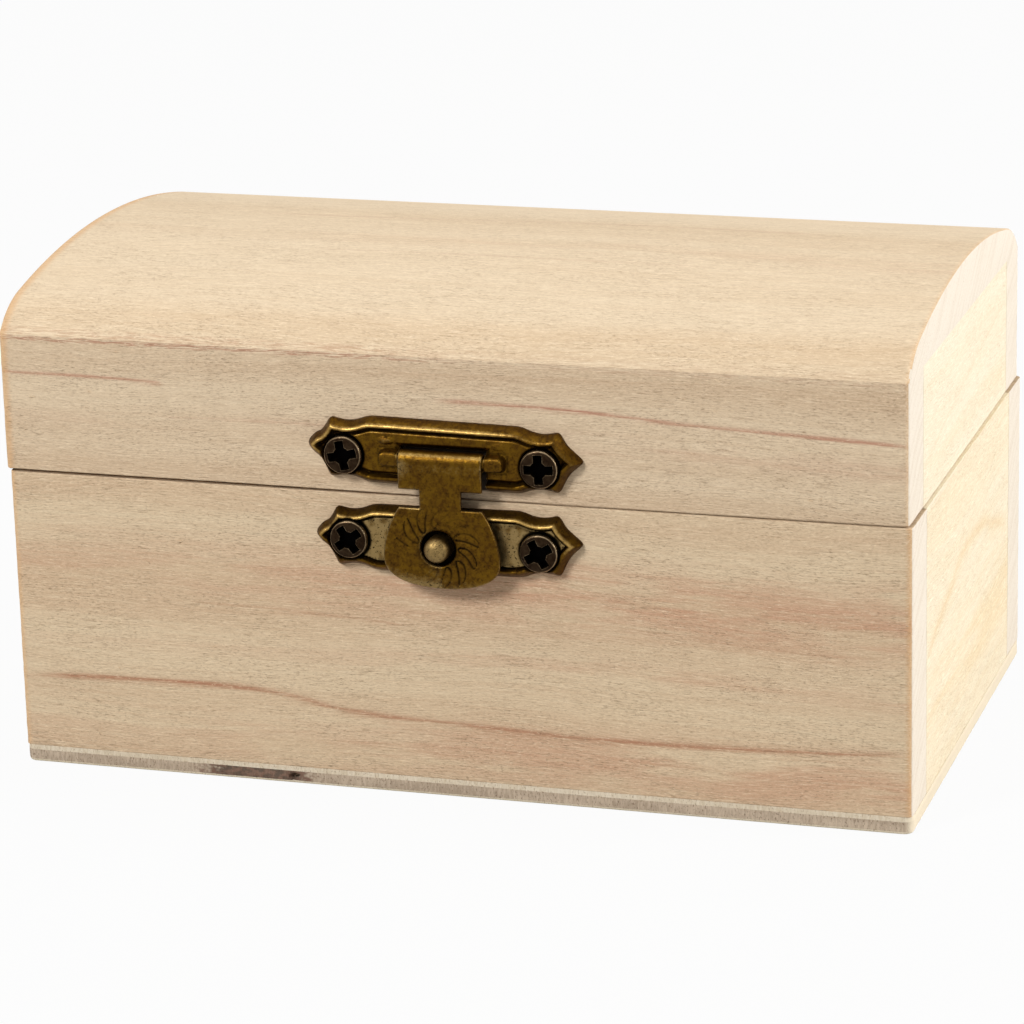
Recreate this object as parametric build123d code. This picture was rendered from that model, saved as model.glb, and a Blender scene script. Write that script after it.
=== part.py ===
from build123d import *
import os
from math import acos, atan, cos, degrees, sin, tan

# Small treasure chest box of raw wood with a stamped bronze hasp, in millimetres.
# The origin is the centre of the underside, +X runs along the length, the front faces -Y, +Z is up.

# Wooden box
box_length = 90.0
box_depth = 54.0
base_height = 30.4       # underside to the middle of the saw cut between base and lid
lid_side_height = 13.7   # middle of the saw cut to the ridge where the arch starts
arch_rise = 5.4          # ridge to crown
shoulder_radius = 9.5    # the tighter arc of the arch, next to the ridge
crown_fullness = 1.105   # how steeply the shoulder passes into the flatter crown arc
saw_gap = 0.2
lid_shift = 0.35         # the lid sits a little to the left of the base
front_wall = 6.5
end_wall = 6.0
outer_veneer = 0.35
ply_core = 1.0
inner_veneer = 0.5
corner_round = 1.0       # sanded upright corners
foot_bevel = 0.5         # sanded edge of the underside

# Stamped plates of the hasp
plate_half_length = 12.9     # to the point of the raised rim
plate_half_height = 3.27
flat_half_length = 7.7       # straight middle stretch of the long edges
waist_half_height = 2.68     # the drawn-in stretch above and below each screw
horn_half_length = 11.4
horn_half_height = 3.1
horn_bevel = 0.45
flank_hollow = (11.9, 1.5)   # point on the hollow flank between horn and point
nose_hollow = (12.05, 1.65)  # the same on the outer edge, which runs out into a nose
nose_side = (12.75, 0.85)
nose_reach = 0.6             # how far the nose stands out past the rim's point
rim_height = 1.3
rim_foot = 0.3               # upright edge of the pressing
rim_slope = 0.6
rim_crest = 0.15
recess_slope = 0.55
sheet = 0.5
upper_plate_rise = 4.0       # plate centre above the saw cut
lower_plate_drop = 4.3       # plate centre below the saw cut

# Tongue of the hasp and what it turns on and closes over
pin_radius = 0.5
pin_length = 11.8
running_gap = 0.05
pivot_out = 1.3              # pin axis in front of the wood
tongue_half_width = 4.13
shoulder_drop = 2.7          # pin axis down to the tongue's shoulder
neck_half_width = 2.05
neck_drop = 4.5
fan_top_half_width = 4.1
fan_half_width = 5.78
fan_belly = (5.25, 6.8)      # half width and drop of a point on the fan's flared side
fan_wide_drop = 9.3
fan_drop = 12.4
fan_corner = (6.0, 11.6)     # pulls the fan's lower corner out
fan_bottom_pull = 3.2
tongue_round = 0.3
roll_gap = 0.2               # slit where the rolled sheet comes back to the flap
slot_side_gap = 0.42
slot_top_gap = 0.2
boss_radius = 0.85
boss_wall = 0.35
boss_bevel = 0.25
catch_shift = -0.3           # hole and knob sit a little left of the middle
catch_drop = 8.4             # pin axis down to the tongue's hole
hole_radius = 1.75
knob_radius = 1.25
knob_height = 3.6
knob_shoulder = (1.0, 0.35)  # radius and depth below the end, halfway up the knob's dome
knob_end_radius = 0.5
knob_dome = 1.0              # length of the dome
rivet_radius = 0.8

# Screws
clasp_screw_spread = 9.65    # screw axes left and right of the plate's middle
clasp_head_radius = 1.9
clasp_head_height = 1.1
clasp_shank_radius = 0.8
clasp_shank_length = 5.6
cross_width_share = 0.34     # arm width of the cross recess over its span
cross_span_share = 0.7       # span of the cross recess over the head
cross_depth_share = 0.6
head_top_share = 0.8         # flat top of a clasp screw's head over its foot
seat_gap = 0.05              # round the heads, the shanks and the rivet
lid_clasp_turns = (12, 2)    # degrees that each driven screw ended up turned
base_clasp_turns = (35, 30)

# Butt hinges on the back
hinge_inset = 19.0           # end of the box to the hinge's middle
leaf_length = 16.0
leaf_height = 7.0
leaf_sheet = 0.6
leaf_bevel = 0.8
knuckle_count = 3
knuckle_radius = 1.25
knuckle_gap = 0.2
hinge_pin_radius = 0.6
leaf_head_radius = 1.4       # flat heads of the small screws that hold a leaf
leaf_head_height = 0.55
leaf_screw_spread = 5.0
leaf_screw_rise = 4.3

half_length = box_length / 2
half_depth = box_depth / 2
ply_height = outer_veneer + ply_core + inner_veneer
base_top = base_height - saw_gap / 2
lid_bottom = base_height + saw_gap / 2
ridge_height = base_height + lid_side_height
pivot_height = base_height + upper_plate_rise
catch_height = pivot_height - catch_drop
lower_plate_height = base_height - lower_plate_drop
knuckle_outer = pin_radius + running_gap + sheet
hinge_axis_out = knuckle_radius + knuckle_gap
slot_half_width = tongue_half_width + slot_side_gap
boss_end = pin_length / 2 + seat_gap + boss_wall
hinge_spread = half_length - hinge_inset
grow_up = (Align.CENTER, Align.CENTER, Align.MIN)
grow_down = (Align.CENTER, Align.CENTER, Align.MAX)


def block(low, high):
    """Box between two opposite corners."""
    size = [b - a for a, b in zip(low, high)]
    return Pos(*low) * Box(*size, align=(Align.MIN, Align.MIN, Align.MIN))


def on_front(x, z, out=0.0):
    """Seat on the front of the box: local x to the right, y up, z outwards."""
    return Plane(origin=(x, -half_depth - out, z), x_dir=(1, 0, 0), z_dir=(0, -1, 0)).location


def on_back(x, z, out=0.0):
    """Seat on the back of the box: local x to the left, y up, z outwards."""
    return Plane(origin=(x, half_depth + out, z), x_dir=(-1, 0, 0), z_dir=(0, 1, 0)).location


def rod(radius, length, x=0.0, y=0.0, z=0.0):
    """Cylinder that lies along X, centred on the given point."""
    return Pos(x, y, z) * Rot(0, 90, 0) * Cylinder(radius, length)


# Wood

def base_outside():
    """Outer shape that the glued and sanded base keeps to."""
    body = block((-half_length, -half_depth, 0), (half_length, half_depth, base_top))
    body = fillet(body.edges().filter_by(Axis.Z), corner_round)
    underside = body.faces().sort_by(Axis.Z)[0]
    return chamfer(underside.edges(), foot_bevel)


def arch_section():
    """Flat-bottomed three-arc section of the top board, drawn in local x across and y up."""
    join = crown_fullness * atan(arch_rise / half_depth)
    spare = arch_rise - half_depth * tan(join / 2)
    start = join / 2 + acos((1 - spare / shoulder_radius) * cos(join / 2))
    crown_radius = (half_depth - shoulder_radius * (sin(start) - sin(join))) / sin(join)
    join_x = crown_radius * sin(join)
    join_y = arch_rise - crown_radius * (1 - cos(join))
    middle = (start + join) / 2
    side_x = join_x + shoulder_radius * (sin(middle) - sin(join))
    side_y = join_y - shoulder_radius * (cos(join) - cos(middle))
    outline = Line((-half_depth, 0), (half_depth, 0))
    outline += ThreePointArc((half_depth, 0), (side_x, side_y), (join_x, join_y))
    outline += ThreePointArc((join_x, join_y), (0, arch_rise), (-join_x, join_y))
    outline += ThreePointArc((-join_x, join_y), (-side_x, side_y), (-half_depth, 0))
    return make_face(outline)


def lid_outside():
    """Upright outer faces that the glued and sanded lid keeps to."""
    crown_height = ridge_height + arch_rise
    sides = block((-half_length, -half_depth, lid_bottom), (half_length, half_depth, crown_height))
    return fillet(sides.edges().filter_by(Axis.Z), corner_round)


def top_board(outside):
    """Arched board that closes the lid."""
    arch_plane = Plane(origin=(-half_length, 0, ridge_height), x_dir=(0, 1, 0), z_dir=(1, 0, 0))
    return extrude(arch_plane * arch_section(), box_length) & outside


def wall_ring(bottom, top, outside):
    """Front, back, left and right walls between two heights, trimmed to the sanded outside."""
    inner_y = half_depth - front_wall
    inner_x = half_length - end_wall
    front = block((-half_length, -half_depth, bottom), (half_length, -inner_y, top))
    back = block((-half_length, inner_y, bottom), (half_length, half_depth, top))
    left = block((-half_length, -inner_y, bottom), (-inner_x, inner_y, top))
    right = block((inner_x, -inner_y, bottom), (half_length, inner_y, top))
    return [piece & outside for piece in (front, back, left, right)]


def plywood(outside):
    """Three plies of the bottom board, from the underside up."""
    layers = []
    bottom = 0.0
    for thickness in (outer_veneer, ply_core, inner_veneer):
        sheet_block = block((-half_length, -half_depth, bottom), (half_length, half_depth, bottom + thickness))
        layers.append(sheet_block & outside)
        bottom += thickness
    return layers


# Screws

def clasp_screw():
    """Screw with a bevelled head and a cross recess, seated on z = 0."""
    head = Cone(clasp_head_radius, clasp_head_radius * head_top_share, clasp_head_height, align=grow_up)
    span = 2 * clasp_head_radius * cross_span_share
    arm = Rectangle(span, span * cross_width_share)
    cross = Pos(0, 0, clasp_head_height) * (arm + Rot(0, 0, 90) * arm)
    head -= extrude(cross, -clasp_head_height * cross_depth_share)
    return head + Cylinder(clasp_shank_radius, clasp_shank_length, align=grow_down)


def pilot():
    """Hole that a clasp screw was driven into."""
    return Cylinder(clasp_shank_radius + seat_gap, clasp_shank_length + seat_gap, align=grow_down)


def clasp_seats(height, turns):
    """Places of the two screws of a hasp plate."""
    sides = zip((-clasp_screw_spread, clasp_screw_spread), turns)
    return [on_front(x, height, sheet) * Rot(0, 0, turn) for x, turn in sides]


def drill(piece, seats):
    """Panel with a pilot hole behind each screw of a hasp plate."""
    for seat in seats:
        piece = piece - seat * pilot()
    return piece


# Hasp

def rim_outline():
    """Outline of a hasp plate with its corners still sharp."""
    shoulder = (flat_half_length, plate_half_height)
    horn = (horn_half_length, horn_half_height)
    quarter = Line((0, plate_half_height), shoulder)
    quarter += ThreePointArc(shoulder, (clasp_screw_spread, waist_half_height), horn)
    quarter += ThreePointArc(horn, flank_hollow, (plate_half_length, 0))
    half = quarter + mirror(quarter, Plane.YZ)
    return make_face(half + mirror(half, Plane.XZ))


def nose():
    """Right end of a hasp plate's outer outline, from horn to horn."""
    flank = ThreePointArc((horn_half_length, horn_half_height), nose_hollow, nose_side)
    flank += TangentArc(nose_side, (plate_half_length + nose_reach, 0), tangent=flank % 1)
    chord = Line((horn_half_length, -horn_half_height), (horn_half_length, horn_half_height))
    return make_face(flank + mirror(flank, Plane.XZ) + chord)


def pressed_outline():
    """Outer outline of a hasp plate with its noses, and its horns blunted."""
    outline = rim_outline() + nose() + mirror(nose(), Plane.YZ)
    horns = outline.vertices().filter_by(lambda corner: abs(corner.Y) > waist_half_height)
    horns = horns.filter_by(lambda corner: abs(corner.X) > clasp_screw_spread)
    return make_face(chamfer(horns, horn_bevel).edges())


def pyramid(outline, height, slope):
    """Body that rises from an outline and draws in by the slope on all sides."""
    return extrude(outline, height, taper=degrees(atan(slope / height)))


def hasp_plate():
    """Pressed plate with a raised rim, a sunk panel and a nose at each end."""
    plate = extrude(pressed_outline(), rim_foot)
    plate += Pos(0, 0, rim_foot) * pyramid(pressed_outline(), rim_height - rim_foot, rim_slope)
    mouth = offset(rim_outline(), -rim_slope - rim_crest, kind=Kind.INTERSECTION)
    plate -= Pos(0, 0, rim_height) * Rot(180, 0, 0) * pyramid(mouth, rim_height - sheet, recess_slope)
    for side in (-1, 1):
        seat = Pos(side * clasp_screw_spread, 0, sheet)
        plate -= seat * Cylinder(clasp_head_radius + seat_gap, rim_height, align=grow_up)
        plate -= seat * pilot()
    return plate


def upper_plate():
    """Hasp plate with the open slot and the two bosses that carry the tongue's pin."""
    plate = hasp_plate()
    slot_top = knuckle_outer + slot_top_gap
    plate -= block((-slot_half_width, -plate_half_height, 0), (slot_half_width, slot_top, rim_height))
    boss = rod(boss_radius, 2 * boss_end, 0, 0, pivot_out)
    boss = chamfer(boss.edges().filter_by(GeomType.CIRCLE), boss_bevel)
    boss += extrude(SlotOverall(2 * boss_end, 2 * boss_radius), pivot_out)
    boss -= block((-slot_half_width, -plate_half_height, 0), (slot_half_width, plate_half_height, 2 * pivot_out))
    plate += boss
    plate -= rod(pin_radius + seat_gap, pin_length + 2 * seat_gap, 0, 0, pivot_out)
    return on_front(0, pivot_height) * plate


def lower_plate():
    """Hasp plate with the hole for the knob's rivet."""
    rivet = Pos(catch_shift, catch_height - lower_plate_height, 0)
    plate = hasp_plate() - rivet * Cylinder(rivet_radius + seat_gap, rim_height, align=grow_up)
    return on_front(0, lower_plate_height) * plate


def knob():
    """Domed catch knob on a rivet that passes through the lower plate."""
    profile = Polyline(
        (0, 0),
        (rivet_radius, 0),
        (rivet_radius, sheet),
        (knob_radius, sheet),
        (knob_radius, knob_height - knob_dome),
        (knob_shoulder[0], knob_height - knob_shoulder[1]),
        (knob_end_radius, knob_height),
        (0, knob_height),
        close=True,
    )
    return on_front(catch_shift, catch_height) * revolve(Plane.XZ * make_face(profile), Axis.Z)


def tongue_outline():
    """Front view of the tongue, with the pin axis at the local origin."""
    right = Line((0, 0), (tongue_half_width, 0))
    right += Line((tongue_half_width, 0), (tongue_half_width, -shoulder_drop))
    right += Line((tongue_half_width, -shoulder_drop), (neck_half_width, -shoulder_drop))
    right += Line((neck_half_width, -shoulder_drop), (neck_half_width, -neck_drop))
    right += Line((neck_half_width, -neck_drop), (fan_top_half_width, -neck_drop))
    belly = (fan_belly[0], -fan_belly[1])
    wide = (fan_half_width, -fan_wide_drop)
    right += ThreePointArc((fan_top_half_width, -neck_drop), belly, wide)
    right += Bezier(wide, (fan_corner[0], -fan_corner[1]), (fan_bottom_pull, -fan_drop), (0, -fan_drop))
    face = make_face(right + mirror(right, Plane.YZ))
    corners = face.vertices().filter_by(lambda corner: -fan_belly[1] < corner.Y < 0)
    return fillet(corners, tongue_round)


def tongue():
    """Stamped tongue, rolled round its pin at the top and pierced for the knob."""
    front = knuckle_outer - sheet
    flap = Pos(0, 0, front) * extrude(tongue_outline(), sheet)
    flap -= Pos(catch_shift, -catch_drop, 0) * Cylinder(hole_radius, 2 * knuckle_outer, align=grow_up)
    roll = rod(knuckle_outer, 2 * tongue_half_width)
    roll -= block((-tongue_half_width, -knuckle_outer, front - roll_gap), (tongue_half_width, 0, front))
    body = flap + roll - rod(pin_radius + running_gap, 2 * tongue_half_width)
    return on_front(0, pivot_height, pivot_out) * body


def clasp_pin():
    """Plain pin between the two bosses."""
    return on_front(0, pivot_height, pivot_out) * rod(pin_radius, pin_length)


# Hinges

def leaf(knuckles):
    """Hinge leaf with its screw heads, and a rolled knuckle over each given stretch of x."""
    foot = knuckle_radius + knuckle_gap
    plate = Pos(0, (foot + leaf_height) / 2, 0) * Rectangle(leaf_length, leaf_height - foot)
    upper = plate.vertices().sort_by(Axis.Y)[-2:]
    body = extrude(chamfer(upper, leaf_bevel), leaf_sheet)
    for x in (-leaf_screw_spread, leaf_screw_spread):
        body += Pos(x, leaf_screw_rise, leaf_sheet) * Cylinder(leaf_head_radius, leaf_head_height, align=grow_up)
    for start, end in knuckles:
        body += block((start, 0, 0), (end, foot, leaf_sheet))
        body += rod(knuckle_radius, end - start, (start + end) / 2, 0, hinge_axis_out)
    return body - rod(hinge_pin_radius + running_gap, leaf_length, 0, 0, hinge_axis_out)


def hinge_leaves(side):
    """Base leaf with the two outer knuckles and lid leaf with the middle one."""
    end = leaf_length / 2
    middle = end / knuckle_count
    outer = ((-end, -middle - running_gap), (middle + running_gap, end))
    inner = ((-middle + running_gap, middle - running_gap),)
    axis = on_back(side * hinge_spread, base_height)
    return axis * Rot(0, 0, 180) * leaf(outer), axis * leaf(inner)


def hinge_pin(side):
    """Wire pin that ends flush with the knuckles."""
    return on_back(side * hinge_spread, base_height, hinge_axis_out) * rod(hinge_pin_radius, leaf_length)


# Assembly

def build():
    """Every piece of the box under its own name."""
    base_skin = base_outside()
    outer_ply, core_sheet, inner_ply = plywood(base_skin)
    base_front, base_back, base_left, base_right = wall_ring(ply_height, base_top, base_skin)
    lid_skin = lid_outside()
    lid_front, lid_back, lid_left, lid_right = wall_ring(lid_bottom, ridge_height, lid_skin)
    moved = Pos(-lid_shift, 0, 0)
    lid_clasp = clasp_seats(pivot_height, lid_clasp_turns)
    base_clasp = clasp_seats(lower_plate_height, base_clasp_turns)
    pieces = {
        "bottom_outer_veneer": outer_ply,
        "bottom_core": core_sheet,
        "bottom_inner_veneer": inner_ply,
        "base_front_panel": drill(base_front, base_clasp),
        "base_back_panel": base_back,
        "base_left_end": base_left,
        "base_right_end": base_right,
        "lid_front_panel": drill(moved * lid_front, lid_clasp),
        "lid_back_panel": moved * lid_back,
        "lid_left_end": moved * lid_left,
        "lid_right_end": moved * lid_right,
        "lid_top_board": moved * top_board(lid_skin),
        "clasp_upper_plate": upper_plate(),
        "clasp_lower_plate": lower_plate(),
        "clasp_tongue": tongue(),
        "clasp_pin": clasp_pin(),
        "clasp_knob": knob(),
        "lid_clasp_screws": Compound([seat * clasp_screw() for seat in lid_clasp]),
        "base_clasp_screws": Compound([seat * clasp_screw() for seat in base_clasp]),
    }
    for name, side in (("left", -1), ("right", 1)):
        base_leaf, lid_leaf = hinge_leaves(side)
        pieces[name + "_hinge_base_leaf"] = base_leaf
        pieces[name + "_hinge_lid_leaf"] = lid_leaf
        pieces[name + "_hinge_pin"] = hinge_pin(side)
    return pieces


os.makedirs("parts", exist_ok=True)
for node, piece in build().items():
    export_step(piece, f"parts/{node}.step")
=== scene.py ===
import math
import random

import bpy
import numpy as np
from mathutils import Matrix, Vector, noise


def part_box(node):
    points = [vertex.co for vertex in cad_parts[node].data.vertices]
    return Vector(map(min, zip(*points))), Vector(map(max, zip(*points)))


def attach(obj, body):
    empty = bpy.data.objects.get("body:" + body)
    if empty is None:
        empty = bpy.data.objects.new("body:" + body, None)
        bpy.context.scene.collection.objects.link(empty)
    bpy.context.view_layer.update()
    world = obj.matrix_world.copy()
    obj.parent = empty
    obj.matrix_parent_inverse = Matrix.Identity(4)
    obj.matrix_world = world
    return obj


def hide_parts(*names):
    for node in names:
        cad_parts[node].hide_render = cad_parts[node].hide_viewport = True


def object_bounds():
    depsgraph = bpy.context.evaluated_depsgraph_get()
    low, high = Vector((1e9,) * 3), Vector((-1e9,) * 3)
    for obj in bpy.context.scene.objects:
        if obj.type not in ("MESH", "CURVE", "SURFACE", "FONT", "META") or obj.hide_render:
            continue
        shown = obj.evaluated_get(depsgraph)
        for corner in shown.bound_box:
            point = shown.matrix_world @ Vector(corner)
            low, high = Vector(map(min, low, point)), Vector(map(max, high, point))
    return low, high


# Small raw-wood chest with a stamped bronze hasp. Sizes in the dictionaries are millimetres.
# Every piece is built in the frame's own axes: length along X, front towards -Y, Z up.

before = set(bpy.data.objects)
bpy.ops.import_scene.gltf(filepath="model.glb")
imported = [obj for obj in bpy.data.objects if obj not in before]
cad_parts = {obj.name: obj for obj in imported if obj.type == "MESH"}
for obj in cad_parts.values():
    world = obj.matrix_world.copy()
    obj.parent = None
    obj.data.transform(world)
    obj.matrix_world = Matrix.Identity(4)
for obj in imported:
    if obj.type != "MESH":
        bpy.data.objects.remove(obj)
cadLow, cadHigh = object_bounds()
scene = bpy.context.scene
scene.view_settings.view_transform = "Standard"
mm = 0.001


def boxOf(node):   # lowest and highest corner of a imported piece, in millimetres
    low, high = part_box(node)
    return low / mm, high / mm


def middleOf(node):
    low, high = boxOf(node)
    return (low + high) / 2


# Node trees

class Link:   # an output socket; sums on it add Math nodes
    def __init__(self, graph, socket):
        self.graph, self.socket = graph, socket

    def math(self, operation, *values):
        return self.graph.add("ShaderNodeMath", {"operation": operation}, dict(enumerate(values)))

    def __add__(self, other):
        return self.math("ADD", self, other)

    def __radd__(self, other):
        return self.math("ADD", other, self)

    def __sub__(self, other):
        return self.math("SUBTRACT", self, other)

    def __rsub__(self, other):
        return self.math("SUBTRACT", other, self)

    def __mul__(self, other):
        return self.math("MULTIPLY", self, other)

    def __rmul__(self, other):
        return self.math("MULTIPLY", other, self)

    def __truediv__(self, other):
        return self.math("DIVIDE", self, other)

    def __rtruediv__(self, other):
        return self.math("DIVIDE", other, self)

    def __pow__(self, other):
        return self.math("POWER", self, other)

    def __abs__(self):
        return self.math("ABSOLUTE", self)

    def sibling(self, name):   # another output of the same node
        return Link(self.graph, self.socket.node.outputs[name])

    def fade(self, low, high, atLow=0.0, atHigh=1.0):   # eased step from one value to another
        values = {"Value": self, "From Min": low, "From Max": high, "To Min": atLow, "To Max": atHigh}
        return self.graph.add("ShaderNodeMapRange", {"interpolation_type": "SMOOTHSTEP"}, values)


class Graph:   # a node tree of a material or of a geometry modifier
    def __init__(self, tree):
        self.tree = tree

    def add(self, kind, settings=None, values=None, out=0):
        node = self.tree.nodes.new(kind)
        for name, value in (settings or {}).items():
            if name == "curve":
                self.bend(node, value)
            else:
                setattr(node, name, value)
        for key, value in (values or {}).items():
            if isinstance(value, (Link, list)):
                for link in value if isinstance(value, list) else [value]:
                    self.tree.links.new(link.socket, node.inputs[key])
            else:
                node.inputs[key].default_value = value
        return Link(self, node.outputs[out]) if node.outputs else node

    def bend(self, node, points):   # gives a Float Curve its points
        curve = node.mapping.curves[0]
        for spot in points[2:]:
            curve.points.new(*spot)
        for point, spot in zip(curve.points, sorted(points)):
            point.location = spot
        node.mapping.update()

    def vector(self, x, y, z):
        return self.add("ShaderNodeCombineXYZ", None, {0: x, 1: y, 2: z})

    def noise(self, vector, detail=1.0, rough=0.5):
        values = {"Vector": vector, "Scale": 1.0, "Detail": detail, "Roughness": rough}
        return self.add("ShaderNodeTexNoise", None, values)

    def tint(self, share, under, over):   # mixes two colours
        values = {0: share, 6: under, 7: over}
        return self.add("ShaderNodeMix", {"data_type": "RGBA"}, values, out=2)

    def place(self):   # object coordinates in millimetres, as three links
        spot = self.add("ShaderNodeTexCoord", None, None, "Object")
        spot = self.add("ShaderNodeVectorMath", {"operation": "SCALE"}, {0: spot, "Scale": 1 / mm})
        parts = self.add("ShaderNodeSeparateXYZ", None, {0: spot})
        return parts, parts.sibling("Y"), parts.sibling("Z")


def colour(red, green, blue):   # a display colour from 0 to 255, as the linear one that a shader takes
    parts = [part / 255 for part in (red, green, blue)]
    linear = [part / 12.92 if part < 0.04045 else ((part + 0.055) / 1.055) ** 2.4 for part in parts]
    return (*linear, 1.0)


def newMaterial(name):
    material = bpy.data.materials.new(name)
    material.use_nodes = True
    material.node_tree.nodes.clear()
    return material, Graph(material.node_tree)


def finishMaterial(graph, base, roughness, height, depth, metallic=0.0, level=0.5):
    bump = graph.add("ShaderNodeBump", None, {"Height": height, "Distance": depth * mm, "Strength": 1.0})
    values = {"Base Color": base, "Roughness": roughness, "Metallic": metallic, "Normal": bump,
              "Specular IOR Level": level}
    shader = graph.add("ShaderNodeBsdfPrincipled", None, values)
    graph.add("ShaderNodeOutputMaterial", None, {"Surface": shader})


# Camera, floor and light

view = {
    "place": (123.5, -401.1, 150.6),   # millimetres from the middle of the underside
    "azimuth": 17.376,
    "elevation": 17.178,
    "roll": -1.528,
    "lens": 152.62,
    "sensor": 36.0,
}


def makeCamera():
    data = bpy.data.cameras.new("photoCamera")
    data.lens = view["lens"]
    data.sensor_width = view["sensor"]
    camera = bpy.data.objects.new("photoCamera", data)
    turn = Matrix.Rotation(math.radians(view["azimuth"]), 4, "Z")
    tilt = Matrix.Rotation(math.radians(90 - view["elevation"]), 4, "X")
    roll = Matrix.Rotation(math.radians(view["roll"]), 4, "Z")
    camera.matrix_world = Matrix.Translation(Vector(view["place"]) * mm) @ turn @ tilt @ roll
    scene.collection.objects.link(camera)
    scene.camera = camera


studio = {
    "world": 0.24,
    "floorReach": 3000.0,
    "floorColour": (190, 189, 186),
    "floorShare": 0.05,   # how much of the lit floor the camera sees under its white
    "lamps": {
        "frontLamp": {"place": (-440, -740, 640), "size": 300, "power": 7.1},
        "topLamp": {"place": (-60, 60, 900), "size": 700, "power": 1.8},
        "sideLamp": {"place": (820, 110, 330), "size": 380, "power": 6.05},
    },
}


def seenDirectly(graph):   # 1 for the camera, mirrors and glass
    rays = graph.add("ShaderNodeLightPath", None, None, "Is Camera Ray")
    seen = rays.math("MAXIMUM", rays, rays.sibling("Is Glossy Ray"))
    return rays.math("MAXIMUM", seen, rays.sibling("Is Transmission Ray"))


def makeWorld():
    scene.world = bpy.data.worlds.new("studioWorld")
    scene.world.use_nodes = True
    scene.world.node_tree.nodes.clear()
    graph = Graph(scene.world.node_tree)
    seen = seenDirectly(graph)
    strength = seen * (1 - studio["world"]) + studio["world"]
    light = graph.add("ShaderNodeBackground", None, {"Color": (1, 1, 1, 1), "Strength": strength})
    graph.add("ShaderNodeOutputWorld", None, {"Surface": light})


def makeFloor():
    reach = studio["floorReach"] * mm
    mesh = bpy.data.meshes.new("floor")
    corners = [(-reach, -reach, 0), (reach, -reach, 0), (reach, reach, 0), (-reach, reach, 0)]
    mesh.from_pydata(corners, [], [(0, 1, 2, 3)])
    floor = bpy.data.objects.new("floor", mesh)
    scene.collection.objects.link(floor)
    material, graph = newMaterial("paleFloor")
    lit = graph.add("ShaderNodeBsdfDiffuse", None, {"Color": colour(*studio["floorColour"])})
    white = graph.add("ShaderNodeEmission", None, {"Color": (1, 1, 1, 1), "Strength": 1.0})
    share = seenDirectly(graph) * (1 - studio["floorShare"])
    both = graph.add("ShaderNodeMixShader", None, {0: share, 1: lit, 2: white})
    graph.add("ShaderNodeOutputMaterial", None, {"Surface": both})
    mesh.materials.append(material)


def makeLamps():
    middle = (cadLow + cadHigh) / 2
    for name, lamp in studio["lamps"].items():
        data = bpy.data.lights.new(name, "AREA")
        data.shape = "DISK"
        data.size = lamp["size"] * mm
        data.energy = lamp["power"]
        light = bpy.data.objects.new(name, data)
        light.location = Vector(lamp["place"]) * mm
        light.rotation_euler = (middle - light.location).to_track_quat("-Z", "Y").to_euler()
        scene.collection.objects.link(light)


makeCamera()
makeWorld()
makeFloor()
makeLamps()
print("stage: camera, floor and lamps are set")


# Raw wood

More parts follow.
